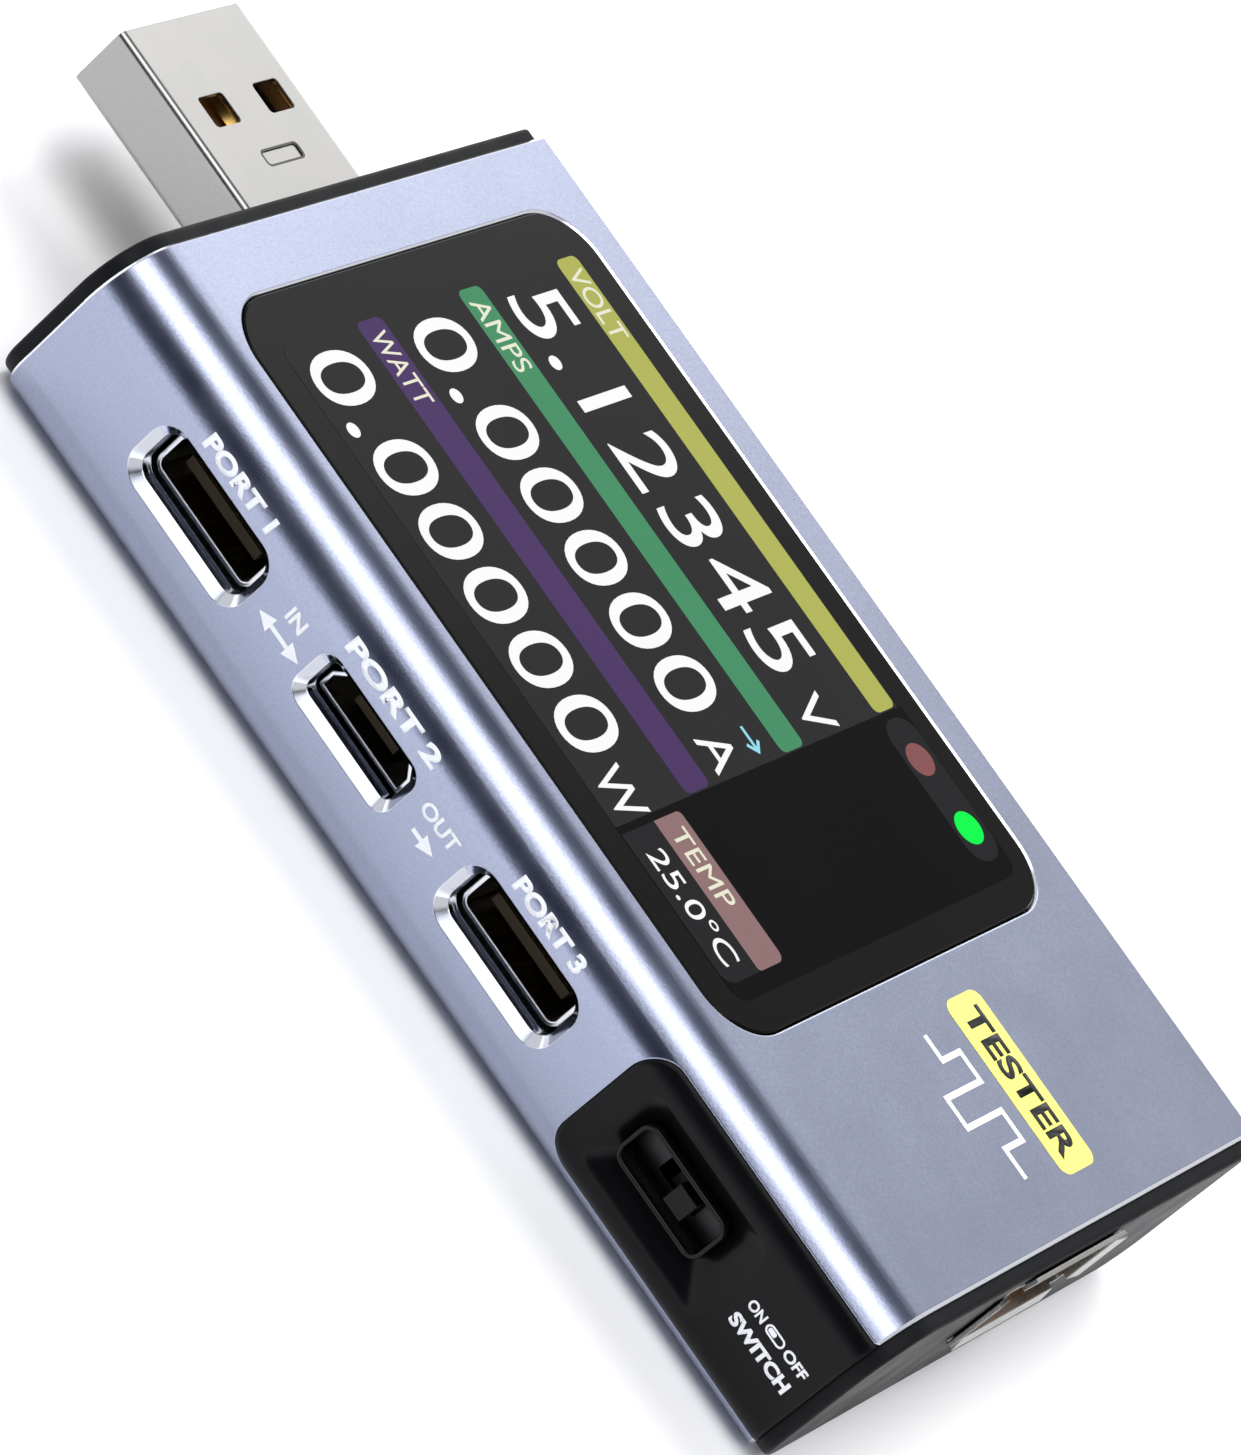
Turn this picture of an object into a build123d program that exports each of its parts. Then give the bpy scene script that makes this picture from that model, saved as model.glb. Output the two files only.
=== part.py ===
from build123d import *
import os

# Pocket USB power meter.
# Frame: origin at the centre of the metal shell's flat underside, +Z up towards the screen,
# -X towards the USB-A plug, +X towards the USB-A socket, -Y the side with the ports. Millimetres.

# ---- metal shell ----
shell_length = 71.6
shell_width = 42.5
shell_height = 12.85
port_side_corner = 4.3
button_side_corner = 2.3
underside_corner = 3.0
wall = 1.5
shell_end_chamfer = 0.2
rail_depth = 1.2

# ---- end caps ----
cap_thickness = 0.95
cap_inset = 0.35
cap_edge = 0.3
spigot_length = 2.5
spigot_wall = 1.0
spigot_gap = 0.1

# ---- circuit board ----
board_thickness = 1.6
board_top = 5.0
board_side_gap = 0.35
board_end_gap = 0.3
board_corner = 1.0

# ---- screen ----
lens_length = 49.65
lens_width = 35.5
lens_corner = 3.75
lens_thickness = 1.0
lens_x = -6.5
lens_y = 0.9
lens_gap = 0.06
lens_edge = 0.1
adhesive_thickness = 0.15
adhesive_width = 0.8
ledge_width = 1.0
window_rim_chamfer = 0.15
panel_gap = 0.7
panel_thickness = 1.4
backlight_inset = 0.3
backlight_thickness = 0.65
flex_thickness = 0.15
flex_width = 12.0
flex_reach = 2.9
flex_bend = 1.2
ribbon_connector_length = 2.6
ribbon_connector_margin = 1.0
ribbon_connector_height = 1.2

# ---- USB-A plug ----
usb_a_top_gap = 0.05
plug_width = 12.0
plug_height = 4.5
plug_corner = 0.5
plug_wall = 0.3
plug_length = 19.5
plug_exposed = 13.1
plug_gap = 0.1
plug_insert_gap = 0.25
window_from_tip = 5.15
window_size_x = 2.1
window_size_y = 2.5
window_spacing = 5.5
window_shift = 0.4
catch_from_tip = 9.3
catch_size_x = 1.05
catch_size_y = 3.65
catch_depth = 0.1
plug_tongue_thickness = 1.95
plug_tongue_recess = 0.4
plug_rear_block = 1.5
plug_block_top_gap = 0.3

# ---- USB-A socket ----
socket_width = 13.1
socket_height = 5.6
socket_corner = 0.5
socket_wall = 0.3
socket_depth = 14.0
socket_gap = 0.1
lip_reach = 0.85
lip_stand = 0.45
lip_corner_gap = 1.4
socket_tongue_width = 11.1
socket_tongue_thickness = 1.84
socket_tongue_top_gap = 0.7
socket_tongue_recess = 0.5
socket_rear_block = 4.0
socket_foot = 1.2
foot_height = 4.0

# ---- contacts of the USB-A pair ----
usb_a_contact_y = (-3.5, -1.0, 1.0, 3.5)
usb_a_contact_width = 1.0
usb_a_contact_length = 7.4
usb_a_contact_thickness = 0.2
usb_a_contact_recess = 1.2

# ---- side connectors ----
connector_setback = 0.2
leg_length = 2.0
type_c_width = 8.94
type_c_height = 3.26
type_c_corner = 0.8
type_c_wall = 0.3
type_c_depth = 7.3
type_c_tongue_width = 6.69
type_c_tongue_thickness = 0.7
type_c_tongue_recess = 0.8
type_c_rear_block = 2.2
type_c_contact_pitch = 0.5
type_c_contact_width = 0.25
type_c_contact_thickness = 0.05
type_c_contact_length = 2.5
type_c_in_x = -22.5
type_c_out_x = 7.0
micro_width = 7.5
micro_height = 2.45
micro_slope = 1.0
micro_wall = 0.25
micro_depth = 5.5
micro_tongue_width = 3.7
micro_tongue_thickness = 0.6
micro_tongue_recess = 0.6
micro_rear_block = 1.4
micro_lift = 0.65
micro_in_x = -7.75
micro_data_x = -20.0

# ---- port openings in the metal shell ----
port_chamfer = 0.6
type_c_port_gap = 0.2
type_c_port_corner = 1.1
micro_port_gap = 0.17
micro_port_corner = 0.6

# ---- switch panel and slide switch ----
panel_start_x = 15.9
panel_low_z = 1.6
panel_high_z = 11.2
panel_corner = 2.0
panel_seam = 0.06
panel_tab_length = 1.4
panel_tab_height = 2.6
panel_tab_thickness = 0.5
switch_axis_z = 6.5
well_left_x = 17.6
well_right_x = 28.8
well_height = 6.95
well_corner = 1.0
well_depth = 1.2
slot_left_x = 19.05
slot_right_x = 25.95
slot_height = 2.8
slot_corner = 0.6
knob_size = 1.5
knob_travel = 1.5
knob_reach = 1.5
knob_recess = 0.35
slider_length = 3.0
slider_height = 2.0
slider_depth = 1.6
slider_gap = 0.12
switch_length = 7.4
switch_height = 3.2
switch_depth = 3.4
switch_case_wall = 0.25
switch_base_thickness = 0.3

# ---- push buttons ----
button_x = {"left": -1.0, "ok": 9.5, "right": 20.0}
button_axis_z = 6.55
button_length = 6.5
button_height = 2.8
button_stand = 0.6
button_edge = 0.35
button_gap = 0.12
button_travel = 0.25
button_flange_length = 8.5
button_flange_thickness = 0.5
button_flange_gap = 0.1
plunger_diameter = 1.6
plunger_reach = 1.0
plunger_insert = 1.0
plunger_gap = 0.1
tact_length = 6.0
tact_height = 3.4
tact_depth = 3.3

# ---- derived sizes ----
cavity_width = shell_width - 2 * wall
cavity_height = shell_height - 2 * wall
mid_z = shell_height / 2
end_x = shell_length / 2
board_bottom = board_top - board_thickness
board_length = shell_length - 2 * (spigot_length + board_end_gap)
board_width = cavity_width - 2 * board_side_gap
rail_height = board_bottom - wall
spigot_inner_width = cavity_width - 2 * (spigot_gap + spigot_wall)
spigot_inner_height = cavity_height - 2 * (spigot_gap + spigot_wall)
rail_y = (cavity_width - rail_depth) / 2
lens_bottom = shell_height - lens_thickness
ledge_top = lens_bottom - adhesive_thickness
recess_length = lens_length + 2 * lens_gap
recess_width = lens_width + 2 * lens_gap
recess_corner = lens_corner + lens_gap
window_length = recess_length - 2 * ledge_width
window_width = recess_width - 2 * ledge_width
window_corner = recess_corner - ledge_width
panel_length = window_length - 2 * panel_gap
panel_width = window_width - 2 * panel_gap
panel_corner_radius = window_corner - panel_gap
panel_bottom = lens_bottom - panel_thickness
screen_bottom = panel_bottom - backlight_thickness
usb_a_axis_z = shell_height - wall - usb_a_top_gap - socket_height / 2
plug_face_x = -end_x - cap_thickness
plug_tip_x = plug_face_x - plug_exposed
plug_end_x = plug_tip_x + plug_length
socket_face_x = end_x + cap_thickness
socket_end_x = socket_face_x - socket_depth
connector_y = cavity_width / 2 - connector_setback
type_c_axis_z = board_top + type_c_height / 2
micro_axis_z = board_top + micro_lift + micro_height / 2
type_c_opening_width = type_c_width + 2 * type_c_port_gap
type_c_opening_height = type_c_height + 2 * type_c_port_gap
micro_opening_width = micro_width + 2 * micro_port_gap
micro_opening_height = micro_height + 2 * micro_port_gap
slot_x = (slot_left_x + slot_right_x) / 2
knob_x = slot_x + knob_travel / 2
port_face = Plane.XZ.offset(shell_width / 2)
button_face = Plane.XZ.offset(-shell_width / 2)

os.makedirs("parts", exist_ok=True)


def write_node(builder, node):
    builder.part.label = node
    export_step(builder.part, f"parts/{node}.step")


def side_plane(x, z, side):
    """Plane at a side connector's mouth: local x along the shell, local y up, normal outwards."""
    return Plane(origin=(x, side * connector_y, z), x_dir=(-side, 0, 0), z_dir=(0, side, 0))


def micro_outline(inset):
    """Hexagonal micro-USB section, wide at the bottom, shrunk by inset all round."""
    half = micro_width / 2
    top = micro_height / 2
    with BuildSketch(mode=Mode.PRIVATE) as outline:
        with BuildLine():
            Polyline(
                (-half, -top),
                (half, -top),
                (half, 0),
                (half - micro_slope, top),
                (micro_slope - half, top),
                (-half, 0),
                close=True,
            )
        make_face()
        if inset:
            offset(amount=-inset, kind=Kind.INTERSECTION)
    return outline.sketch


def sleeve_section(inset):
    """Section of the sleeve, shrunk by inset all round; local x points to the button side, y up."""
    with BuildSketch(mode=Mode.PRIVATE) as section:
        with Locations((0, mid_z)):
            Rectangle(shell_width - 2 * inset, shell_height - 2 * inset)
        lower = section.vertices().group_by(Axis.Y)[0]
        fillet(lower, radius=underside_corner - inset)
        port_side, button_side = section.vertices().group_by(Axis.Y)[-1].sort_by(Axis.X)
        fillet(port_side, radius=port_side_corner - inset)
        fillet(button_side, radius=button_side_corner - inset)
    return section.sketch


# ---- metal shell: an extruded tube with board rails, screen window, ports and button holes ----
with BuildPart() as body_shell:
    with BuildSketch(Plane.YZ.offset(-end_x)):
        add(sleeve_section(0))
        add(sleeve_section(wall), mode=Mode.SUBTRACT)
        with Locations((-rail_y, wall + rail_height / 2), (rail_y, wall + rail_height / 2)):
            Rectangle(rail_depth, rail_height)
    extrude(amount=shell_length)

    # polished break on the outer edge at both ends
    for end_face in (body_shell.faces().sort_by(Axis.X)[0], body_shell.faces().sort_by(Axis.X)[-1]):
        chamfer(end_face.outer_wire().edges(), length=shell_end_chamfer)

    # stepped screen window with a bright chamfered rim
    with BuildSketch(Plane.XY.offset(ledge_top)):
        with Locations((lens_x, lens_y)):
            RectangleRounded(recess_length, recess_width, recess_corner)
    extrude(amount=shell_height - ledge_top, mode=Mode.SUBTRACT)
    with BuildSketch(Plane.XY.offset(shell_height - wall)):
        with Locations((lens_x, lens_y)):
            RectangleRounded(window_length, window_width, window_corner)
    extrude(amount=wall, mode=Mode.SUBTRACT)
    for flare in (0, window_rim_chamfer):
        with BuildSketch(Plane.XY.offset(shell_height - window_rim_chamfer + flare)):
            with Locations((lens_x, lens_y)):
                RectangleRounded(
                    recess_length + 2 * flare,
                    recess_width + 2 * flare,
                    recess_corner + flare,
                )
    loft(mode=Mode.SUBTRACT)

    # port side: two Type-C openings and one micro-USB opening, each with a flared rim
    for x, z, opening_width, opening_height, corner in (
        (type_c_in_x, type_c_axis_z, type_c_opening_width, type_c_opening_height, type_c_port_corner),
        (micro_in_x, micro_axis_z, micro_opening_width, micro_opening_height, micro_port_corner),
        (type_c_out_x, type_c_axis_z, type_c_opening_width, type_c_opening_height, type_c_port_corner),
    ):
        with BuildSketch(port_face):
            with Locations((x, z)):
                RectangleRounded(opening_width, opening_height, corner)
        extrude(amount=-wall, mode=Mode.SUBTRACT)
        for flare in (0, port_chamfer):
            with BuildSketch(port_face.offset(flare - port_chamfer)):
                with Locations((x, z)):
                    RectangleRounded(
                        opening_width + 2 * flare,
                        opening_height + 2 * flare,
                        corner + flare,
                    )
        loft(mode=Mode.SUBTRACT)

    # button side: three button holes and the data port
    with BuildSketch(button_face):
        with Locations([(x, button_axis_z) for x in button_x.values()]):
            SlotOverall(button_length + 2 * button_gap, button_height + 2 * button_gap)
        with Locations((micro_data_x, micro_axis_z)):
            RectangleRounded(micro_opening_width, micro_opening_height, micro_port_corner)
    extrude(amount=wall, mode=Mode.SUBTRACT)
    button_side_rims = body_shell.faces().filter_by(Axis.Y).sort_by(Axis.Y)[-1].inner_wires()
    data_rim = button_side_rims.sort_by(Axis.X)[0]
    chamfer(data_rim.edges(), length=port_chamfer)

    # notch for the switch panel, open towards the socket end
    with BuildSketch(port_face):
        with Locations((panel_start_x, (panel_low_z + panel_high_z) / 2)):
            RectangleRounded(
                end_x - panel_start_x + 2 * panel_corner,
                panel_high_z - panel_low_z,
                panel_corner,
                align=(Align.MIN, Align.CENTER),
            )
    extrude(amount=-wall, mode=Mode.SUBTRACT)
write_node(body_shell, "body_shell")


# ---- end caps: a thin plate with a ring spigot that plugs the tube and clears the rails ----
def end_cap(outward, opening_width, opening_height, opening_corner):
    face_plane = Plane.YZ.offset(outward * end_x)
    spigot_rail_height = rail_height + 2 * spigot_gap
    with BuildPart() as cap:
        with BuildSketch(face_plane):
            add(sleeve_section(cap_inset))
        extrude(amount=outward * cap_thickness)
        plate_edges = cap.faces().filter_by(Axis.X).sort_by(Axis.X)[0 if outward < 0 else -1].edges()
        fillet(plate_edges, radius=cap_edge)
        with BuildSketch(face_plane):
            add(sleeve_section(wall + spigot_gap))
            with Locations((0, mid_z)):
                Rectangle(spigot_inner_width, spigot_inner_height, mode=Mode.SUBTRACT)
            with Locations((-rail_y, wall + rail_height / 2), (rail_y, wall + rail_height / 2)):
                Rectangle(rail_depth + 2 * spigot_gap, spigot_rail_height, mode=Mode.SUBTRACT)
        extrude(amount=-outward * spigot_length)
        with BuildSketch(face_plane.offset(outward * cap_thickness)):
            with Locations((0, usb_a_axis_z)):
                RectangleRounded(opening_width, opening_height, opening_corner)
        extrude(amount=-outward * (cap_thickness + spigot_length), mode=Mode.SUBTRACT)
    return cap


plug_end_cap = end_cap(-1, plug_width + 2 * plug_gap, plug_height + 2 * plug_gap, plug_corner + plug_gap)
write_node(plug_end_cap, "plug_end_cap")
socket_end_cap = end_cap(
    1,
    socket_width + 2 * socket_gap,
    socket_height + 2 * socket_gap,
    socket_corner + socket_gap,
)
write_node(socket_end_cap, "socket_end_cap")

# ---- switch panel: fills the notch, follows the shell's rounded side, with a funnel to the slot ----
with BuildPart() as switch_panel:
    with BuildSketch(Plane.YZ.offset(panel_start_x + panel_seam)):
        add(sleeve_section(0))
    extrude(amount=end_x - panel_start_x - panel_seam)
    with BuildSketch(port_face):
        with Locations((panel_start_x + panel_seam, (panel_low_z + panel_high_z) / 2)):
            RectangleRounded(
                end_x - panel_start_x + 2 * panel_corner,
                panel_high_z - panel_low_z - 2 * panel_seam,
                panel_corner - panel_seam,
                align=(Align.MIN, Align.CENTER),
            )
    extrude(amount=-wall, mode=Mode.INTERSECT)
    with BuildSketch(Plane.XZ.offset(cavity_width / 2)):
        with Locations((panel_start_x, switch_axis_z)):
            Rectangle(2 * panel_tab_length, panel_tab_height)
    extrude(amount=-panel_tab_thickness)
    with BuildSketch(port_face):
        with Locations(((well_left_x + well_right_x) / 2, switch_axis_z)):
            RectangleRounded(well_right_x - well_left_x, well_height, well_corner)
    with BuildSketch(port_face.offset(-well_depth)):
        with Locations((slot_x, switch_axis_z)):
            RectangleRounded(slot_right_x - slot_left_x, slot_height, slot_corner)
    loft(mode=Mode.SUBTRACT)
    with BuildSketch(port_face.offset(-well_depth)):
        with Locations((slot_x, switch_axis_z)):
            RectangleRounded(slot_right_x - slot_left_x, slot_height, slot_corner)
    extrude(amount=well_depth - wall, mode=Mode.SUBTRACT)
write_node(switch_panel, "switch_panel")

# ---- screen: cover lens, adhesive frame, display panel, backlight tray and ribbon ----
with BuildPart() as cover_lens:
    with BuildSketch(Plane.XY.offset(lens_bottom)):
        with Locations((lens_x, lens_y)):
            RectangleRounded(lens_length, lens_width, lens_corner)
    extrude(amount=lens_thickness)
    chamfer(cover_lens.faces().sort_by(Axis.Z)[-1].edges(), length=lens_edge)
write_node(cover_lens, "cover_lens")

with BuildPart() as lens_adhesive:
    with BuildSketch(Plane.XY.offset(ledge_top)):
        with Locations((lens_x, lens_y)):
            RectangleRounded(lens_length, lens_width, lens_corner)
            RectangleRounded(
                lens_length - 2 * adhesive_width,
                lens_width - 2 * adhesive_width,
                lens_corner - adhesive_width,
                mode=Mode.SUBTRACT,
            )
    extrude(amount=adhesive_thickness)
write_node(lens_adhesive, "lens_adhesive")

with BuildPart() as display_panel:
    with BuildSketch(Plane.XY.offset(panel_bottom)):
        with Locations((lens_x, lens_y)):
            RectangleRounded(panel_length, panel_width, panel_corner_radius)
    extrude(amount=panel_thickness)
write_node(display_panel, "display_panel")

with BuildPart() as display_backlight:
    with BuildSketch(Plane.XY.offset(screen_bottom)):
        with Locations((lens_x, lens_y)):
            RectangleRounded(
                panel_length - 2 * backlight_inset,
                panel_width - 2 * backlight_inset,
                panel_corner_radius - backlight_inset,
            )
    extrude(amount=backlight_thickness)
write_node(display_backlight, "display_backlight")

flex_start_x = lens_x + panel_length / 2
flex_end_x = flex_start_x + flex_reach
flex_top_z = panel_bottom + flex_thickness
connector_top = board_top + ribbon_connector_height
with BuildPart() as display_ribbon:
    with BuildSketch(Plane.XZ.offset(-lens_y - flex_width / 2)):
        with BuildLine():
            outer_run = FilletPolyline(
                (flex_start_x, flex_top_z),
                (flex_end_x, flex_top_z),
                (flex_end_x, connector_top),
                radius=flex_bend,
            )
            inner_run = FilletPolyline(
                (flex_start_x, flex_top_z - flex_thickness),
                (flex_end_x - flex_thickness, flex_top_z - flex_thickness),
                (flex_end_x - flex_thickness, connector_top),
                radius=flex_bend - flex_thickness,
            )
            Line(outer_run @ 0, inner_run @ 0)
            Line(outer_run @ 1, inner_run @ 1)
        make_face()
    extrude(amount=flex_width)
write_node(display_ribbon, "display_ribbon")

# ---- main circuit board ----
with BuildPart() as main_board:
    with BuildSketch(Plane.XY.offset(board_bottom)):
        RectangleRounded(board_length, board_width, board_corner)
    extrude(amount=board_thickness)
write_node(main_board, "main_board")

# ---- USB-A plug: drawn steel tube with two windows each way, insulator and four contacts ----
plug_plane = Plane.YZ.offset(plug_tip_x)
plug_inner_width = plug_width - 2 * plug_wall
plug_inner_height = plug_height - 2 * plug_wall
plug_bottom_z = usb_a_axis_z - plug_height / 2
with BuildPart() as usb_plug_shell:
    with BuildSketch(plug_plane):
        with Locations((0, usb_a_axis_z)):
            RectangleRounded(plug_width, plug_height, plug_corner)
            RectangleRounded(
                plug_inner_width,
                plug_inner_height,
                plug_corner - plug_wall,
                mode=Mode.SUBTRACT,
            )
    extrude(amount=plug_length)
    window_x = plug_tip_x + window_from_tip + window_size_x / 2
    with BuildSketch(Plane.XY.offset(plug_bottom_z)):
        with Locations((window_x, window_shift)):
            with GridLocations(0, window_spacing, 1, 2):
                RectangleRounded(window_size_x, window_size_y, plug_wall)
    extrude(amount=plug_height, mode=Mode.SUBTRACT)
    with BuildSketch(Plane.XY.offset(plug_bottom_z + plug_height - catch_depth)):
        with Locations((plug_tip_x + catch_from_tip + catch_size_x / 2, window_shift)):
            RectangleRounded(catch_size_x, catch_size_y, plug_wall)
    extrude(amount=catch_depth, mode=Mode.SUBTRACT)
    # two legs that stand on the board's edge
    for side in (-1, 1):
        with BuildSketch(Plane.XY.offset(board_top)):
            with Locations((plug_end_x - leg_length / 2, side * (plug_width - plug_wall) / 2)):
                Rectangle(leg_length, plug_wall)
        extrude(amount=plug_bottom_z + plug_corner - board_top)
write_node(usb_plug_shell, "usb_plug_shell")

plug_tongue_low = plug_bottom_z + plug_wall
plug_tongue_top = plug_tongue_low + plug_tongue_thickness
with BuildPart() as usb_plug_insert:
    with BuildSketch(plug_plane.offset(plug_tongue_recess)):
        with Locations((0, plug_tongue_low)):
            Rectangle(
                plug_inner_width - 2 * plug_insert_gap,
                plug_tongue_thickness,
                align=(Align.CENTER, Align.MIN),
            )
    extrude(amount=plug_length - plug_tongue_recess)
    with BuildSketch(plug_plane.offset(plug_length)):
        with Locations((0, board_top)):
            Rectangle(
                plug_inner_width - 2 * plug_insert_gap,
                screen_bottom - plug_block_top_gap - board_top,
                align=(Align.CENTER, Align.MIN),
            )
    extrude(amount=plug_rear_block)
    with BuildSketch(plug_plane.offset(plug_exposed)):
        with Locations((0, plug_tongue_low)):
            Rectangle(
                plug_inner_width - 2 * plug_insert_gap,
                plug_inner_height - plug_insert_gap,
                align=(Align.CENTER, Align.MIN),
            )
    extrude(amount=plug_length - plug_exposed)
write_node(usb_plug_insert, "usb_plug_insert")

with BuildPart() as usb_plug_contacts:
    with BuildSketch(Plane.XY.offset(plug_tongue_top)):
        with Locations([(plug_tip_x + usb_a_contact_recess, y) for y in usb_a_contact_y]):
            Rectangle(usb_a_contact_length, usb_a_contact_width, align=(Align.MIN, Align.CENTER))
    extrude(amount=usb_a_contact_thickness)
write_node(usb_plug_contacts, "usb_plug_contacts")

# ---- USB-A socket: steel tube with four flared lips, insulator tongue and four contacts ----
socket_plane = Plane.YZ.offset(socket_end_x)
socket_inner_width = socket_width - 2 * socket_wall
socket_inner_height = socket_height - 2 * socket_wall
socket_bottom_z = usb_a_axis_z - socket_height / 2


def lip_profile(plane, half_opening, run):
    """One flared lip, drawn beside the mouth and extruded along the mouth's edge."""
    inside = half_opening - socket_wall
    with BuildPart() as lip:
        with BuildSketch(plane.offset(-run / 2)):
            with BuildLine():
                Polyline(
                    (0, inside),
                    (0, half_opening),
                    (socket_wall / 2, half_opening + lip_reach),
                    (lip_stand, half_opening + lip_reach),
                    (socket_wall, inside),
                    close=True,
                )
            make_face()
        extrude(amount=run)
    return lip.part


mouth = Vector(socket_face_x, 0, usb_a_axis_z)
with BuildPart() as usb_socket_shell:
    with BuildSketch(socket_plane):
        with Locations((0, usb_a_axis_z)):
            RectangleRounded(socket_width, socket_height, socket_corner)
            RectangleRounded(
                socket_inner_width,
                socket_inner_height,
                socket_corner - socket_wall,
                mode=Mode.SUBTRACT,
            )
    extrude(amount=socket_depth)
    for toward in (Vector(0, 0, 1), Vector(0, 0, -1)):
        lip_plane = Plane(origin=mouth, x_dir=(1, 0, 0), z_dir=Vector(1, 0, 0).cross(toward))
        add(lip_profile(lip_plane, socket_height / 2, socket_width - 2 * lip_corner_gap))
    for toward in (Vector(0, 1, 0), Vector(0, -1, 0)):
        lip_plane = Plane(origin=mouth, x_dir=(1, 0, 0), z_dir=Vector(1, 0, 0).cross(toward))
        add(lip_profile(lip_plane, socket_width / 2, socket_height - lip_corner_gap))
    for side in (-1, 1):
        for leg_x in (socket_end_x + leg_length, socket_end_x + 3 * leg_length):
            with BuildSketch(Plane.XY.offset(board_top)):
                with Locations((leg_x, side * (socket_width - socket_wall) / 2)):
                    Rectangle(leg_length, socket_wall)
            extrude(amount=socket_bottom_z + socket_corner - board_top)
write_node(usb_socket_shell, "usb_socket_shell")

socket_inner_top = usb_a_axis_z + socket_inner_height / 2
socket_tongue_low = socket_inner_top - socket_tongue_top_gap - socket_tongue_thickness
with BuildPart() as usb_socket_insert:
    with BuildSketch(socket_plane):
        with Locations((0, usb_a_axis_z)):
            Rectangle(socket_inner_width - 2 * socket_gap, socket_inner_height - 2 * socket_gap)
    extrude(amount=socket_rear_block)
    with BuildSketch(socket_plane):
        with Locations((0, socket_tongue_low)):
            Rectangle(socket_tongue_width, socket_tongue_thickness, align=(Align.CENTER, Align.MIN))
    extrude(amount=socket_depth - socket_tongue_recess)
    with BuildSketch(socket_plane):
        with Locations((0, board_top)):
            Rectangle(
                socket_inner_width - 2 * socket_gap,
                foot_height,
                align=(Align.CENTER, Align.MIN),
            )
    extrude(amount=-socket_foot)
write_node(usb_socket_insert, "usb_socket_insert")

with BuildPart() as usb_socket_contacts:
    contact_end_x = socket_face_x - socket_tongue_recess - usb_a_contact_recess
    with BuildSketch(Plane.XY.offset(socket_tongue_low)):
        with Locations([(contact_end_x, y) for y in usb_a_contact_y]):
            Rectangle(usb_a_contact_length, usb_a_contact_width, align=(Align.MAX, Align.CENTER))
    extrude(amount=-usb_a_contact_thickness)
write_node(usb_socket_contacts, "usb_socket_contacts")

# ---- Type-C receptacles on the port side ----
for role, port_x in (("in", type_c_in_x), ("out", type_c_out_x)):
    mouth_plane = side_plane(port_x, type_c_axis_z, -1)
    inner_width = type_c_width - 2 * type_c_wall
    inner_height = type_c_height - 2 * type_c_wall
    with BuildPart() as type_c_shell:
        with BuildSketch(mouth_plane):
            RectangleRounded(type_c_width, type_c_height, type_c_corner)
            RectangleRounded(inner_width, inner_height, type_c_corner - type_c_wall, mode=Mode.SUBTRACT)
        extrude(amount=-type_c_depth)
    write_node(type_c_shell, f"type_c_{role}_shell")

    rear_plane = mouth_plane.offset(-type_c_depth)
    with BuildPart() as type_c_insert:
        with BuildSketch(rear_plane):
            RectangleRounded(inner_width, inner_height, type_c_corner - type_c_wall)
        extrude(amount=type_c_rear_block)
        with BuildSketch(rear_plane):
            Rectangle(type_c_tongue_width, type_c_tongue_thickness)
        extrude(amount=type_c_depth - type_c_tongue_recess)
    write_node(type_c_insert, f"type_c_{role}_insert")

    contact_face = type_c_tongue_thickness / 2 + type_c_contact_thickness / 2
    with BuildPart() as type_c_contacts:
        with BuildSketch(mouth_plane.offset(-type_c_tongue_recess - type_c_contact_width)):
            with Locations((0, contact_face), (0, -contact_face)):
                with GridLocations(type_c_contact_pitch, 0, 12, 1):
                    Rectangle(type_c_contact_width, type_c_contact_thickness)
        extrude(amount=-type_c_contact_length)
    write_node(type_c_contacts, f"type_c_{role}_contacts")

# ---- micro-USB receptacles: supply input on the port side, data port on the button side ----
for role, port_x, side in (("in", micro_in_x, -1), ("data", micro_data_x, 1)):
    mouth_plane = side_plane(port_x, micro_axis_z, side)
    with BuildPart() as micro_shell:
        with BuildSketch(mouth_plane):
            add(micro_outline(0))
            add(micro_outline(micro_wall), mode=Mode.SUBTRACT)
        extrude(amount=-micro_depth)
        # legs that lift the receptacle off the board
        with BuildSketch(mouth_plane.offset(-connector_setback - board_side_gap)):
            with Locations((0, -micro_height / 2 - micro_lift / 2)):
                with GridLocations(micro_width - micro_wall, 0, 2, 1):
                    Rectangle(micro_wall, micro_lift)
        extrude(amount=-leg_length)
    write_node(micro_shell, f"micro_{role}_shell")

    rear_plane = mouth_plane.offset(-micro_depth)
    with BuildPart() as micro_insert:
        with BuildSketch(rear_plane):
            add(micro_outline(micro_wall))
        extrude(amount=micro_rear_block)
        with BuildSketch(rear_plane):
            Rectangle(micro_tongue_width, micro_tongue_thickness)
        extrude(amount=micro_depth - micro_tongue_recess)
        with BuildSketch(rear_plane):
            with Locations((0, -micro_height / 2 - micro_lift)):
                Rectangle(
                    micro_tongue_width,
                    micro_lift + micro_height / 2,
                    align=(Align.CENTER, Align.MIN),
                )
        extrude(amount=-micro_rear_block)
    write_node(micro_insert, f"micro_{role}_insert")

# ---- slide switch: moulded base, steel case with a window, and the sliding knob ----
switch_front_y = -cavity_width / 2 - (wall - knob_recess) + knob_reach
switch_front = Plane.XZ.offset(-switch_front_y)
with BuildPart() as slide_switch_base:
    with BuildSketch(Plane.XY.offset(board_top)):
        with Locations((slot_x, switch_front_y + switch_depth / 2)):
            Rectangle(switch_length - 2 * switch_case_wall, switch_depth - 2 * switch_case_wall)
    extrude(amount=switch_base_thickness)
write_node(slide_switch_base, "slide_switch_base")

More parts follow.
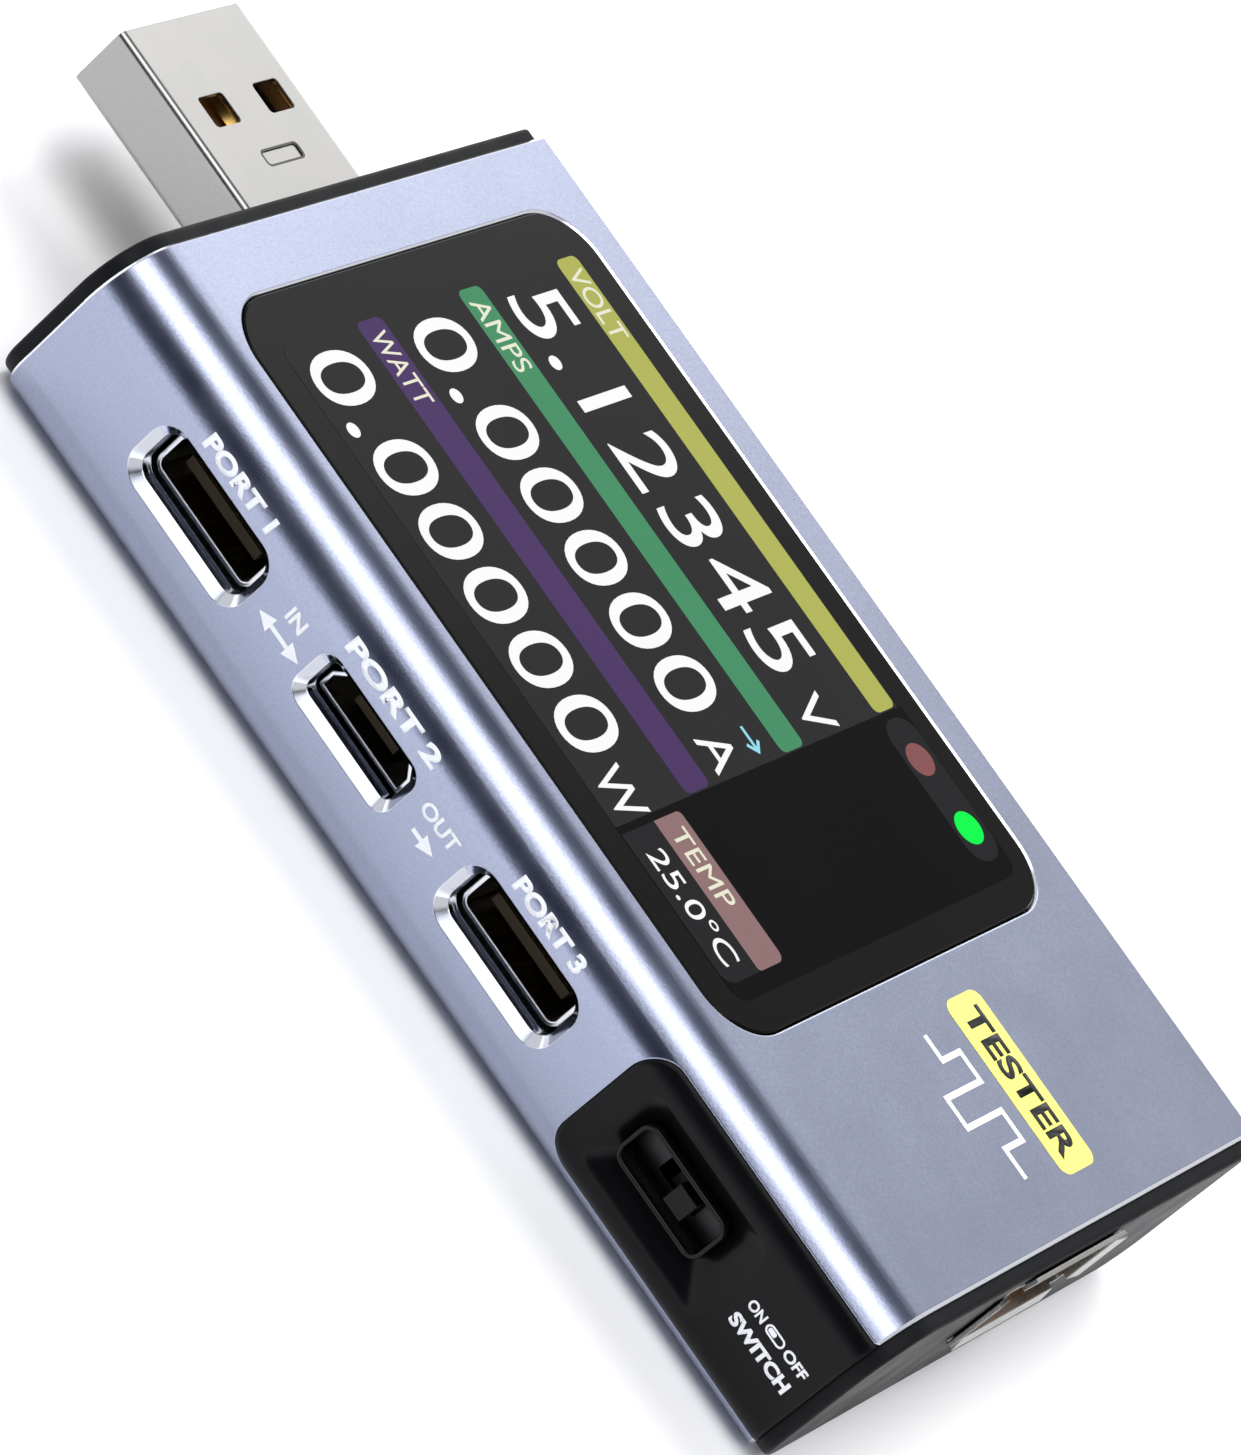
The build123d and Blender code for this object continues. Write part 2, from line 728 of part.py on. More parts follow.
with BuildPart() as slide_switch_case:
    with BuildSketch(Plane.XY.offset(board_top)):
        with Locations((slot_x, switch_front_y + switch_depth / 2)):
            Rectangle(switch_length, switch_depth)
    extrude(amount=switch_height)
    with BuildSketch(Plane.XY.offset(board_top)):
        with Locations((slot_x, switch_front_y + switch_depth / 2)):
            Rectangle(switch_length - 2 * switch_case_wall, switch_depth - 2 * switch_case_wall)
    extrude(amount=switch_height - switch_case_wall, mode=Mode.SUBTRACT)
    with BuildSketch(switch_front):
        with Locations((slot_x, switch_axis_z)):
            Rectangle(knob_size + knob_travel + 2 * slider_gap, knob_size + 2 * slider_gap)
    extrude(amount=-switch_case_wall, mode=Mode.SUBTRACT)
write_node(slide_switch_case, "slide_switch_case")

with BuildPart() as slide_switch_knob:
    with BuildSketch(switch_front.offset(knob_reach)):
        with Locations((knob_x, switch_axis_z)):
            Rectangle(knob_size, knob_size)
    extrude(amount=-(knob_reach + switch_case_wall + slider_gap))
    with BuildSketch(switch_front.offset(-switch_case_wall - slider_gap)):
        with Locations((knob_x, switch_axis_z)):
            Rectangle(slider_length, slider_height)
    extrude(amount=-slider_depth)
write_node(slide_switch_knob, "slide_switch_knob")

# ---- push buttons: cap with a hidden flange, side-push switch body and its plunger ----
flange_outer_y = cavity_width / 2 - button_flange_gap
flange_inner_y = flange_outer_y - button_flange_thickness
tact_front_y = flange_inner_y - plunger_reach
for name, x in button_x.items():
    with BuildPart() as button_cap:
        with BuildSketch(button_face.offset(-button_stand)):
            with Locations((x, button_axis_z)):
                SlotOverall(button_length, button_height)
        extrude(amount=shell_width / 2 + button_stand - flange_outer_y)
        fillet(button_cap.faces().sort_by(Axis.Y)[-1].edges(), radius=button_edge)
        with BuildSketch(Plane.XZ.offset(-flange_outer_y)):
            with Locations((x, button_axis_z)):
                Rectangle(button_flange_length, button_height)
        extrude(amount=button_flange_thickness)
    write_node(button_cap, f"{name}_button_cap")

    with BuildPart() as plunger:
        with BuildSketch(Plane.XZ.offset(-flange_inner_y)):
            with Locations((x, button_axis_z)):
                Circle(plunger_diameter / 2)
        extrude(amount=plunger_reach + plunger_insert)
    write_node(plunger, f"{name}_button_plunger")

with BuildPart() as button_switches:
    with BuildSketch(Plane.XZ.offset(-tact_front_y)):
        with Locations([(x, board_top) for x in button_x.values()]):
            Rectangle(tact_length, tact_height, align=(Align.CENTER, Align.MIN))
    extrude(amount=tact_depth)
    with BuildSketch(Plane.XZ.offset(-tact_front_y)):
        with Locations([(x, button_axis_z) for x in button_x.values()]):
            Circle(plunger_diameter / 2 + plunger_gap)
    extrude(amount=plunger_insert + 2 * button_travel, mode=Mode.SUBTRACT)
write_node(button_switches, "button_switches")

# ---- components soldered on the board: (node, positions, length, width, height) ----
board_components = (
    ("controller_chip", [(-11, 3)], 7.0, 7.0, 1.2),
    ("measuring_chip", [(-21, -5)], 5.0, 4.4, 1.0),
    ("memory_chip", [(0, 5)], 5.0, 4.0, 1.5),
    ("protocol_chips", [(-15, -5), (7, -6)], 3.0, 3.0, 0.8),
    ("shunt_resistors", [(-24, 2), (-24, 6)], 6.4, 3.2, 0.6),
    ("power_transistors", [(1, -6), (13, -6), (13, 0), (7, 0)], 3.3, 3.3, 0.9),
    ("power_inductor", [(13, 7)], 4.2, 4.2, 2.0),
    ("clock_crystal", [(-4, 1)], 3.2, 2.5, 0.7),
    (
        "ceramic_capacitors",
        [(-17, 10), (-14, 10), (-11, 10), (-8, 10), (-5, 10), (7, 6), (7, 9)],
        1.6,
        0.8,
        0.8,
    ),
    (
        "ribbon_connector",
        [(flex_end_x, lens_y)],
        ribbon_connector_length,
        flex_width + 2 * ribbon_connector_margin,
        ribbon_connector_height,
    ),
)
for node, positions, length, width, height in board_components:
    with BuildPart() as component:
        with BuildSketch(Plane.XY.offset(board_top)):
            with Locations(positions):
                Rectangle(length, width)
        extrude(amount=height)
    write_node(component, node)
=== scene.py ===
"""A USB power meter: an anodised aluminium sleeve with a USB plug, a USB socket and side ports.

Axes: -X is the plug end, +X the socket end, -Y the side with three ports and the slide switch,
+Y the side with the push buttons, +Z the screen.  The shell stands on the floor at z = 0.
Outlines, prints and what the screen shows are laid out in millimetres.  A length written with
MM, and every length that reaches Blender, is in metres.
"""

import math

import bmesh
import bpy
from mathutils import Matrix, Vector


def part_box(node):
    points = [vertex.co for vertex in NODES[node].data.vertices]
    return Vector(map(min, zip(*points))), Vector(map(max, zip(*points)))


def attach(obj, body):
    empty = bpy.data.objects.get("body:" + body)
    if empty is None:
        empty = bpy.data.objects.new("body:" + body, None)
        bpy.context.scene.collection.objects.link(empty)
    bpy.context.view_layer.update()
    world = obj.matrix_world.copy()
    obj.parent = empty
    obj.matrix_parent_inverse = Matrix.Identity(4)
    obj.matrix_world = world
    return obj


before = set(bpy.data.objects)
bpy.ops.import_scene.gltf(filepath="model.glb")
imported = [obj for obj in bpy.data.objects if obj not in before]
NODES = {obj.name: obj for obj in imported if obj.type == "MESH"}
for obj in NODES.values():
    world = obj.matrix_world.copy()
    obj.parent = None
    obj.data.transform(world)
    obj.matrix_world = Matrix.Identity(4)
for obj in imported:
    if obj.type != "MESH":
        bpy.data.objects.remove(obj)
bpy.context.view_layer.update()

MM = 0.001
HOUSING = "housing"

# ---------------------------------------------------------------- places read from the frame

SHELL_LOW, SHELL_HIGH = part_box("body_shell")
SHELL_CORNER = 4.3 * MM
TOP = SHELL_HIGH.z
SIDE = SHELL_LOW.y
CORNER_Z = TOP - SHELL_CORNER
CORNER_Y = SIDE + SHELL_CORNER
PRINT_DEPTH = 0.02 * MM
PRINT_SINK = 0.004 * MM
LAYER = 0.014 * MM


# ---------------------------------------------------------------- colour and node helpers

def linear(red, green, blue):
    """A screen colour, 0 to 255 a channel, as a linear colour with full alpha."""
    channels = []
    for value in (red, green, blue):
        share = value / 255
        low = share / 12.92
        high = ((share + 0.055) / 1.055) ** 2.4
        channels.append(low if share <= 0.04045 else high)
    return (*channels, 1.0)


def scaled(colour, factor):
    """The colour, lighter or darker by a factor."""
    return (*(min(1.0, channel * factor) for channel in colour[:3]), 1.0)


def add(tree, kind, inputs=None, **settings):
    """A new node with its settings and inputs, where an input is a value or another socket."""
    made = tree.nodes.new(kind)
    for key, value in settings.items():
        setattr(made, key, value)
    for key, value in (inputs or {}).items():
        if isinstance(value, bpy.types.NodeSocket):
            tree.links.new(value, made.inputs[key])
        else:
            made.inputs[key].default_value = value
    return made


def calc(tree, operation, first, second=0.0, clamp=False):
    """The result of one Math node."""
    inputs = {0: first, 1: second}
    return add(tree, "ShaderNodeMath", inputs, operation=operation, use_clamp=clamp).outputs[0]


def ramp_between(tree, value, low, high, start=0.0, end=1.0):
    """A value that eases from start to end while the input goes from low to high."""
    inputs = {"Value": value, "From Min": low, "From Max": high, "To Min": start, "To Max": end}
    made = add(tree, "ShaderNodeMapRange", inputs, interpolation_type="SMOOTHSTEP")
    return made.outputs["Result"]


def blend_colours(tree, share, first, second, mode="MIX"):
    """Two colours mixed by a share."""
    made = add(tree, "ShaderNodeMix", data_type="RGBA", blend_type=mode)
    for socket, value in ((made.inputs[0], share), (made.inputs[6], first), (made.inputs[7], second)):
        if isinstance(value, bpy.types.NodeSocket):
            tree.links.new(value, socket)
        else:
            socket.default_value = value
    return made.outputs[2]


def place_of(tree, stretch=(1.0, 1.0, 1.0)):
    """The point on the object, in metres, stretched along the axes."""
    point = add(tree, "ShaderNodeTexCoord").outputs["Object"]
    if tuple(stretch) == (1.0, 1.0, 1.0):
        return point
    return add(tree, "ShaderNodeMapping", {"Vector": point, "Scale": stretch}).outputs["Vector"]


def noise(tree, size, stretch=(1.0, 1.0, 1.0), detail=3.0, rough=0.55):
    """Cloudy noise whose features are about that size, in metres."""
    inputs = {
        "Vector": place_of(tree, stretch),
        "Scale": 1 / size,
        "Detail": detail,
        "Roughness": rough,
    }
    return add(tree, "ShaderNodeTexNoise", inputs).outputs["Fac"]


def new_material(name):
    """A new material, its node tree and its shader."""
    made = bpy.data.materials.new(name)
    made.use_nodes = True
    tree = made.node_tree
    shader = tree.nodes["Principled BSDF"]
    return made, tree, shader


SPECK_TINT = 1.5
WEAR_REACH = 0.12 * MM
WEAR_TINT = 3.0
WEAR_ROUGHNESS = 0.15
WEAR_PATCH = 0.6 * MM


def finish_of(
    name,
    colour,
    roughness,
    shade=0.08,
    swing=0.05,
    mottle=3 * MM,
    grain=0.15 * MM,
    relief=0.004 * MM,
    stretch=(1.0, 1.0, 1.0),
    wear=0.0,
    soft=0.0,
    sockets=None,
):
    """A material with cloudy colour, uneven roughness, a fine relief and soft or scuffed edges if asked."""
    made, tree, shader = new_material(name)
    cloud = noise(tree, mottle)
    dust = noise(tree, grain, stretch)
    tone = blend_colours(tree, cloud, scaled(colour, 1 - shade), scaled(colour, 1 + shade))
    speck = ramp_between(tree, dust, 0.25, 0.75)
    tone = blend_colours(tree, calc(tree, "MULTIPLY", speck, shade), tone, scaled(colour, SPECK_TINT))
    rough = ramp_between(tree, cloud, 0.25, 0.75, roughness - swing, roughness + swing)
    relief_node = {"Height": dust, "Distance": relief, "Strength": 1.0}
    if soft > 0:
        relief_node["Normal"] = soft_normal(tree, soft)
    bump = add(tree, "ShaderNodeBump", relief_node).outputs["Normal"]
    if wear > 0:
        edges = worn_edges(tree, WEAR_REACH, wear)
        tone = blend_colours(tree, edges, tone, scaled(colour, WEAR_TINT))
        rough = calc(tree, "ADD", rough, calc(tree, "MULTIPLY", edges, WEAR_ROUGHNESS))
    tree.links.new(tone, shader.inputs["Base Color"])
    tree.links.new(rough, shader.inputs["Roughness"])
    tree.links.new(bump, shader.inputs["Normal"])
    for key, value in (sockets or {}).items():
        shader.inputs[key].default_value = value
    return made


def soft_normal(tree, reach):
    """The surface's normal, turning gradually across sharp edges."""
    return add(tree, "ShaderNodeBevel", {"Radius": reach}, samples=8).outputs["Normal"]


def worn_edges(tree, reach, amount):
    """High where the surface turns sharply within that reach, broken up by noise."""
    rounded = add(tree, "ShaderNodeBevel", {"Radius": reach}, samples=4).outputs["Normal"]
    true_normal = add(tree, "ShaderNodeNewGeometry").outputs["True Normal"]
    facing = add(tree, "ShaderNodeVectorMath", {0: rounded, 1: true_normal}, operation="DOT_PRODUCT")
    turned = ramp_between(tree, facing.outputs["Value"], 0.98, 0.75)
    patches = ramp_between(tree, noise(tree, WEAR_PATCH), 0.35, 0.65, 0.3, 1.0)
    return calc(tree, "MULTIPLY", calc(tree, "MULTIPLY", turned, patches), amount)


# ---------------------------------------------------------------- the shell's metal

ANODISED = linear(157, 163, 185)
RIM_METAL = linear(192, 197, 210)
BARE_METAL = linear(226, 228, 234)
SOFT_EDGE = 0.12 * MM
PORT_RIM_LOW = 3.4 * MM
PORT_RIM_TOP = 9.2 * MM
WINDOW_RIM_SIDE = 18.9 * MM
WINDOW_RIM_DEPTH = 0.16 * MM
WINDOW_RIM_FADE = 0.02 * MM
MASK_EDGE = 0.1 * MM
# A chamfer's normal leans between the first two values towards an axis; the third softens the ends.
CHAMFER_NORMAL = (0.3, 0.95, 0.03)
BEAD_SIZE = 0.17 * MM
BEAD_RELIEF = 0.011 * MM
BEAD_SPECK = 0.34


def band(tree, value, low, high, soft):
    """High where the value lies between low and high, with soft ends."""
    rise = ramp_between(tree, value, low - soft, low + soft)
    fall = ramp_between(tree, value, high - soft, high + soft, 1.0, 0.0)
    return calc(tree, "MULTIPLY", rise, fall)


def cut_faces(tree):
    """Two masks: the bare chamfers at the window and the shell's ends, and those with the port rims."""
    coords = add(tree, "ShaderNodeTexCoord")
    normal = add(tree, "ShaderNodeSeparateXYZ", {0: coords.outputs["Normal"]})
    point = add(tree, "ShaderNodeSeparateXYZ", {0: coords.outputs["Object"]})
    along, across, up = (calc(tree, "ABSOLUTE", normal.outputs[axis]) for axis in range(3))
    offside = calc(tree, "ABSOLUTE", point.outputs[1])
    height = point.outputs[2]
    ends = band(tree, along, *CHAMFER_NORMAL)
    low_enough = ramp_between(tree, height, PORT_RIM_TOP, PORT_RIM_TOP + MASK_EDGE, 1.0, 0.0)
    high_enough = ramp_between(tree, height, PORT_RIM_LOW - MASK_EDGE, PORT_RIM_LOW)
    beside_port = calc(tree, "MULTIPLY", low_enough, high_enough)
    ports = calc(tree, "MULTIPLY", band(tree, across, *CHAMFER_NORMAL), beside_port)
    rim_low = TOP - WINDOW_RIM_DEPTH
    near_top = ramp_between(tree, height, rim_low - WINDOW_RIM_FADE, rim_low)
    inboard = ramp_between(tree, offside, WINDOW_RIM_SIDE, WINDOW_RIM_SIDE + MASK_EDGE, 1.0, 0.0)
    by_window = calc(tree, "MULTIPLY", near_top, inboard)
    window = calc(tree, "MULTIPLY", band(tree, up, *CHAMFER_NORMAL), by_window)
    bare = calc(tree, "MAXIMUM", ends, window, clamp=True)
    return bare, calc(tree, "MAXIMUM", bare, ports, clamp=True)


def shell_metal():
    """Bead-blasted, anodised aluminium in blue-grey, with bright-cut chamfers."""
    made, tree, shader = new_material("anodised_aluminium")
    cloud = noise(tree, 6 * MM)
    bead = noise(tree, BEAD_SIZE, detail=2.0, rough=0.6)
    coarse = noise(tree, 0.45 * MM, detail=2.0)
    tone = blend_colours(tree, cloud, scaled(ANODISED, 0.95), scaled(ANODISED, 1.05))
    speck = ramp_between(tree, bead, 0.3, 0.7)
    dots = calc(tree, "MULTIPLY", speck, BEAD_SPECK)
    tone = blend_colours(tree, dots, tone, scaled(ANODISED, 0.72))
    bare, cut = cut_faces(tree)
    tone = blend_colours(tree, cut, tone, RIM_METAL)
    tone = blend_colours(tree, bare, tone, BARE_METAL)
    rough = ramp_between(tree, cloud, 0.25, 0.75, 0.21, 0.27)
    rough = calc(tree, "MULTIPLY", rough, ramp_between(tree, cut, 0.0, 1.0, 1.0, 0.35))
    height = calc(tree, "ADD", bead, calc(tree, "MULTIPLY", coarse, 0.8))
    fine = calc(tree, "SUBTRACT", 0.35, calc(tree, "MULTIPLY", cut, 0.3))
    soft = soft_normal(tree, SOFT_EDGE)
    relief = {"Height": height, "Distance": BEAD_RELIEF, "Strength": fine, "Normal": soft}
    bump = add(tree, "ShaderNodeBump", relief)
    tree.links.new(tone, shader.inputs["Base Color"])
    tree.links.new(rough, shader.inputs["Roughness"])
    tree.links.new(bump.outputs["Normal"], shader.inputs["Normal"])
    shader.inputs["Metallic"].default_value = 1.0
    return made


# ---------------------------------------------------------------- board, glass and lit screen

TRACK_STEP = 1.6 * MM
VIA_STEP = 2.4 * MM


def board_mask():
    """Black solder mask with raised tracks under it and round vias."""
    made, tree, shader = new_material("solder_mask")
    lines = add(
        tree,
        "ShaderNodeTexBrick",
        {
            "Vector": place_of(tree),
            "Scale": 1 / TRACK_STEP,
            "Mortar Size": 0.07,
            "Mortar Smooth": 0.3,
            "Color1": (0.0, 0.0, 0.0, 1.0),
            "Color2": (0.0, 0.0, 0.0, 1.0),
            "Mortar": (1.0, 1.0, 1.0, 1.0),
        },
    ).outputs["Color"]
    cloud = noise(tree, 5 * MM)
    tone = blend_colours(tree, cloud, linear(15, 16, 18), linear(22, 23, 26))
    tone = blend_colours(tree, calc(tree, "MULTIPLY", lines, 0.6), tone, linear(40, 42, 46))
    vias = add(tree, "ShaderNodeTexVoronoi", {"Vector": place_of(tree), "Scale": 1 / VIA_STEP})
    dots = ramp_between(tree, vias.outputs["Distance"], 0.10, 0.08)
    tone = blend_colours(tree, dots, tone, linear(62, 60, 56))
    bump = add(tree, "ShaderNodeBump", {"Height": lines, "Distance": 0.03 * MM, "Strength": 0.6})
    rough = ramp_between(tree, cloud, 0.25, 0.75, 0.28, 0.42)
    tree.links.new(tone, shader.inputs["Base Color"])
    tree.links.new(rough, shader.inputs["Roughness"])
    tree.links.new(bump.outputs["Normal"], shader.inputs["Normal"])
    return made


GLASS_IOR = 1.15
PIXEL_IOR = 1.07
PLASTIC_IOR = 1.24
CAP_IOR = 1.17


def lens_glass():
    """Black-backed cover glass with the faintest unevenness of polish."""
    made, tree, shader = new_material("cover_glass")
    cloud = noise(tree, 9 * MM)
    smear = noise(tree, 1.2 * MM, stretch=(0.4, 1.0, 1.0))
    tone = blend_colours(tree, cloud, linear(4, 4, 5), linear(9, 9, 11))
    rough = ramp_between(tree, smear, 0.3, 0.8, 0.05, 0.09)
    bump = add(tree, "ShaderNodeBump", {"Height": cloud, "Distance": 0.01 * MM, "Strength": 0.2})
    tree.links.new(tone, shader.inputs["Base Color"])
    tree.links.new(rough, shader.inputs["Roughness"])
    tree.links.new(bump.outputs["Normal"], shader.inputs["Normal"])
    shader.inputs["IOR"].default_value = GLASS_IOR
    return made


def screen_light(name, colour):
    """A lit part of the screen: its own light, a faint pixel unevenness and the glass's gloss."""
    made, tree, shader = new_material(name)
    pixels = noise(tree, 0.18 * MM, detail=1.0)
    drift = noise(tree, 12 * MM, detail=1.0)
    uneven = calc(tree, "ADD", calc(tree, "MULTIPLY", pixels, 0.3), calc(tree, "MULTIPLY", drift, 0.7))
    tone = blend_colours(tree, uneven, scaled(colour, 0.93), scaled(colour, 1.05))
    tree.links.new(tone, shader.inputs["Emission Color"])
    backing = blend_colours(tree, uneven, linear(3, 3, 4), linear(7, 7, 8))
    tree.links.new(backing, shader.inputs["Base Color"])
    rough = ramp_between(tree, drift, 0.3, 0.8, 0.05, 0.09)
    tree.links.new(rough, shader.inputs["Roughness"])
    shader.inputs["Emission Strength"].default_value = 1.0
    shader.inputs["IOR"].default_value = PIXEL_IOR
    return made


# ---------------------------------------------------------------- flat solids laid on the shell

def housing_piece(name, body, finish):
    """The object made from a bmesh, which it frees, riding on the housing."""
    mesh = bpy.data.meshes.new(name)
    body.to_mesh(mesh)
    body.free()
    mesh.materials.append(finish)
    piece = bpy.data.objects.new(name, mesh)
    bpy.context.scene.collection.objects.link(piece)
    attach(piece, HOUSING)


def on_top(level):
    """Places a flat shape on the screen face: u along +X, v along +Y, w up."""
    return lambda u, v, w: Vector((u, v, TOP + level + w))


def on_side(u, v, w):
    """Places a flat shape on the port side: u along +X, v up the side and over its rounded edge."""
    turn = (v - CORNER_Z) / SHELL_CORNER
    if turn <= 0:
        return Vector((u, SIDE - w, v))
    reach = SHELL_CORNER + w
    return Vector((u, CORNER_Y - reach * math.cos(turn), CORNER_Z + reach * math.sin(turn)))


def lay(name, flat, place, finish, depth=PRINT_DEPTH):
    """Turns a flat bmesh, in metres, into a thin closed solid laid by place on the housing."""
    bmesh.ops.remove_doubles(flat, verts=flat.verts, dist=1e-7)
    bottom = flat.faces[:]
    raised = bmesh.ops.extrude_face_region(flat, geom=bottom, use_keep_orig=True)
    upper = {item for item in raised["geom"] if isinstance(item, bmesh.types.BMVert)}
    for vert in flat.verts:
        height = depth if vert in upper else -PRINT_SINK
        vert.co = place(vert.co.x, vert.co.y, height)
    bmesh.ops.recalc_face_normals(flat, faces=flat.faces)
    housing_piece(name, flat, finish)


def from_outlines(outlines):
    """A flat bmesh with one face for each closed outline, given in millimetres."""
    flat = bmesh.new()
    for outline in outlines:
        flat.faces.new([flat.verts.new((x * MM, y * MM, 0.0)) for x, y in outline])
    return flat


def ring(outer, inner):
    """A flat bmesh of the strip between two outlines with the same number of points."""
    flat = bmesh.new()
    outside = [flat.verts.new((x * MM, y * MM, 0.0)) for x, y in outer]
    inside = [flat.verts.new((x * MM, y * MM, 0.0)) for x, y in inner]
    for index in range(len(outer)):
        after = (index + 1) % len(outer)
        flat.faces.new((outside[index], outside[after], inside[after], inside[index]))
    return flat


def slice_rows(flat, step):
    """Cuts a flat bmesh into rows along v, so that it can follow a rounded edge."""
    low = min(vert.co.y for vert in flat.verts)
    high = max(vert.co.y for vert in flat.verts)
    rows = max(1, math.ceil((high - low) / step))
    for row in range(1, rows):
        level = low + (high - low) * row / rows
        parts = flat.verts[:] + flat.edges[:] + flat.faces[:]
        bmesh.ops.bisect_plane(flat, geom=parts, plane_co=(0, level, 0), plane_no=(0, 1, 0))
    return flat


def glyphs(text, bold=0.0):
    """A flat bmesh of a text, as the built-in font draws it, with its lowest corner at 0, 0."""
    curve = bpy.data.curves.new("glyphs", "FONT")
    curve.body = text
    curve.offset = bold
    curve.resolution_u = 8
    holder = bpy.data.objects.new("glyphs", curve)
    bpy.context.scene.collection.objects.link(holder)
    bpy.context.view_layer.update()
    drawn = holder.evaluated_get(bpy.context.evaluated_depsgraph_get())
    mesh = bpy.data.meshes.new_from_object(drawn)
    flat = bmesh.new()
    flat.from_mesh(mesh)
    bpy.data.objects.remove(holder)
    bpy.data.meshes.remove(mesh)
    bpy.data.curves.remove(curve)
    bmesh.ops.remove_doubles(flat, verts=flat.verts, dist=1e-5)
    left = min(vert.co.x for vert in flat.verts)
    low = min(vert.co.y for vert in flat.verts)
    bmesh.ops.translate(flat, verts=flat.verts, vec=(-left, -low, 0.0))
    return flat


def fit_text(text, left, low, width, height, bold=0.0):
    """A flat text that fills a box given in millimetres."""
    flat = glyphs(text, bold)
    wide = max(vert.co.x for vert in flat.verts)
    high = max(vert.co.y for vert in flat.verts)
    size = Matrix.Diagonal((width * MM / wide, height * MM / high, 1.0, 1.0))
    bmesh.ops.transform(flat, matrix=size, verts=flat.verts)
    bmesh.ops.translate(flat, verts=flat.verts, vec=(left * MM, low * MM, 0.0))
    return flat


def rounded_box(left, right, low, high, radius, steps=8):
    """The outline of a rectangle with one radius at all corners, or four, from the low left on."""
    radii = radius if isinstance(radius, tuple) else (radius,) * 4
    corners = (
        (left, low, 1, 1, 180),
        (right, low, -1, 1, 270),
        (right, high, -1, -1, 0),
        (left, high, 1, -1, 90),
    )
    outline = []
    for (x, y, inward_x, inward_y, start), size in zip(corners, radii):
        for step in range(steps + 1 if size else 1):
            angle = math.radians(start + 90 * step / steps)
            centre_x, centre_y = x + inward_x * size, y + inward_y * size
            outline.append((centre_x + size * math.cos(angle), centre_y + size * math.sin(angle)))
    return outline


def disc(x, y, radius, steps=40):
    """The outline of a round dot."""
    turns = [2 * math.pi * step / steps for step in range(steps)]
    return [(x + radius * math.cos(turn), y + radius * math.sin(turn)) for turn in turns]


def stroke(points, width):
    """The outline of a line of that width along the points, with mitred corners."""
    path = [Vector(point) for point in points]
    left, right = [], []
    for index, point in enumerate(path):
        before = (point - path[index - 1]).normalized() if index else None
        after = (path[index + 1] - point).normalized() if index < len(path) - 1 else None
        ways = [way for way in (before, after) if way is not None]
        normals = [Vector((-way.y, way.x)) for way in ways]
        mitre = sum(normals, Vector((0.0, 0.0))).normalized()
        reach = width / 2 / mitre.dot(normals[0])
        left.append(tuple(point + mitre * reach))
        right.append(tuple(point - mitre * reach))
    return right + left[::-1]


# ---------------------------------------------------------------- what the screen shows

SCREEN = {
    "field": linear(47, 47, 48),
    "black": linear(16, 16, 17),
    "white": linear(255, 255, 255),
    "yellow": linear(180, 183, 92),
    "green": linear(74, 146, 104),
    "purple": linear(80, 58, 104),
    "brown": linear(148, 117, 117),
    "panel": linear(40, 40, 42),
    "red": linear(139, 88, 88),
    "signal": linear(10, 255, 80),
    "cyan": linear(150, 225, 240),
    "cream": linear(236, 236, 214),
}
SCREEN_LEVELS = (0.0, LAYER, 2 * LAYER)
ROW_LEFT, ROW_RIGHT = -28.1, 4.4
FIELD_LOW, FIELD_HIGH = -14.6, 16.5
DARK_RIGHT = 16.2
# Name, reading, unit, label, the bar's colour, the digits' baseline, and the bar's two edges.
ROWS = (
    ("volts", "5.12345", "V", "VOLT", "yellow", 7.35, (14.2, 16.4)),
    ("amps", "0.00000", "A", "AMPS", "green", -3.2, (3.6, 5.98)),
    ("watts", "0.00000", "W", "WATT", "purple", -13.75, (-6.95, -4.4)),
)
ROW_LABEL_LEFT = -27.2
ROW_LABEL_SIZE = (5.0, 1.64)
BAR_CORNER = 0.5
DIGIT_CENTRES = (-25.2, -22.1, -19.07, -14.7, -10.35, -6.0, -1.65)
DIGIT_HEIGHT = 5.3
DIGIT_WIDTH = 3.6
POINT_RADIUS = 0.5
UNIT_HEIGHT = 2.85
UNIT_SPANS = {"V": (1.6, 4.1), "A": (1.5, 4.0), "W": (1.0, 4.35)}
FLOW_TAIL, FLOW_NECK, FLOW_END, FLOW_TIP = 1.87, 3.0, 3.5, 3.62
FLOW_LEVEL, FLOW_BARB, FLOW_LINE = 1.6, 0.6, 0.22
FLOW_LIFT = 0.004 * MM
INFO_LEFT, INFO_RIGHT = 4.9, 15.0
# A bar and a field are their low and high edges; a text box is its left, low, width and height.
TEMPERATURE_BAR = (-11.2, -8.5)
TEMPERATURE_FIELD = (-14.6, -11.25)
TEMPERATURE_LABEL = (5.8, -10.6, 5.2, 1.5)
TEMPERATURE_READING = (6.4, -13.75, 7.6, 1.75)
PILL_RIGHT, PILL_LOW, PILL_HIGH, PILL_CORNER = 14.9, 13.75, 16.8, 1.4
LAMP_LEVEL, LAMP_RADIUS = 15.2, 1.12
LAMP_OFF, LAMP_ON = 7.78, 12.6


def join(parts):
    """One flat bmesh from several."""
    whole = bmesh.new()
    for part in parts:
        mesh = bpy.data.meshes.new("part")
        part.to_mesh(mesh)
        part.free()
        whole.from_mesh(mesh)
        bpy.data.meshes.remove(mesh)
    return whole


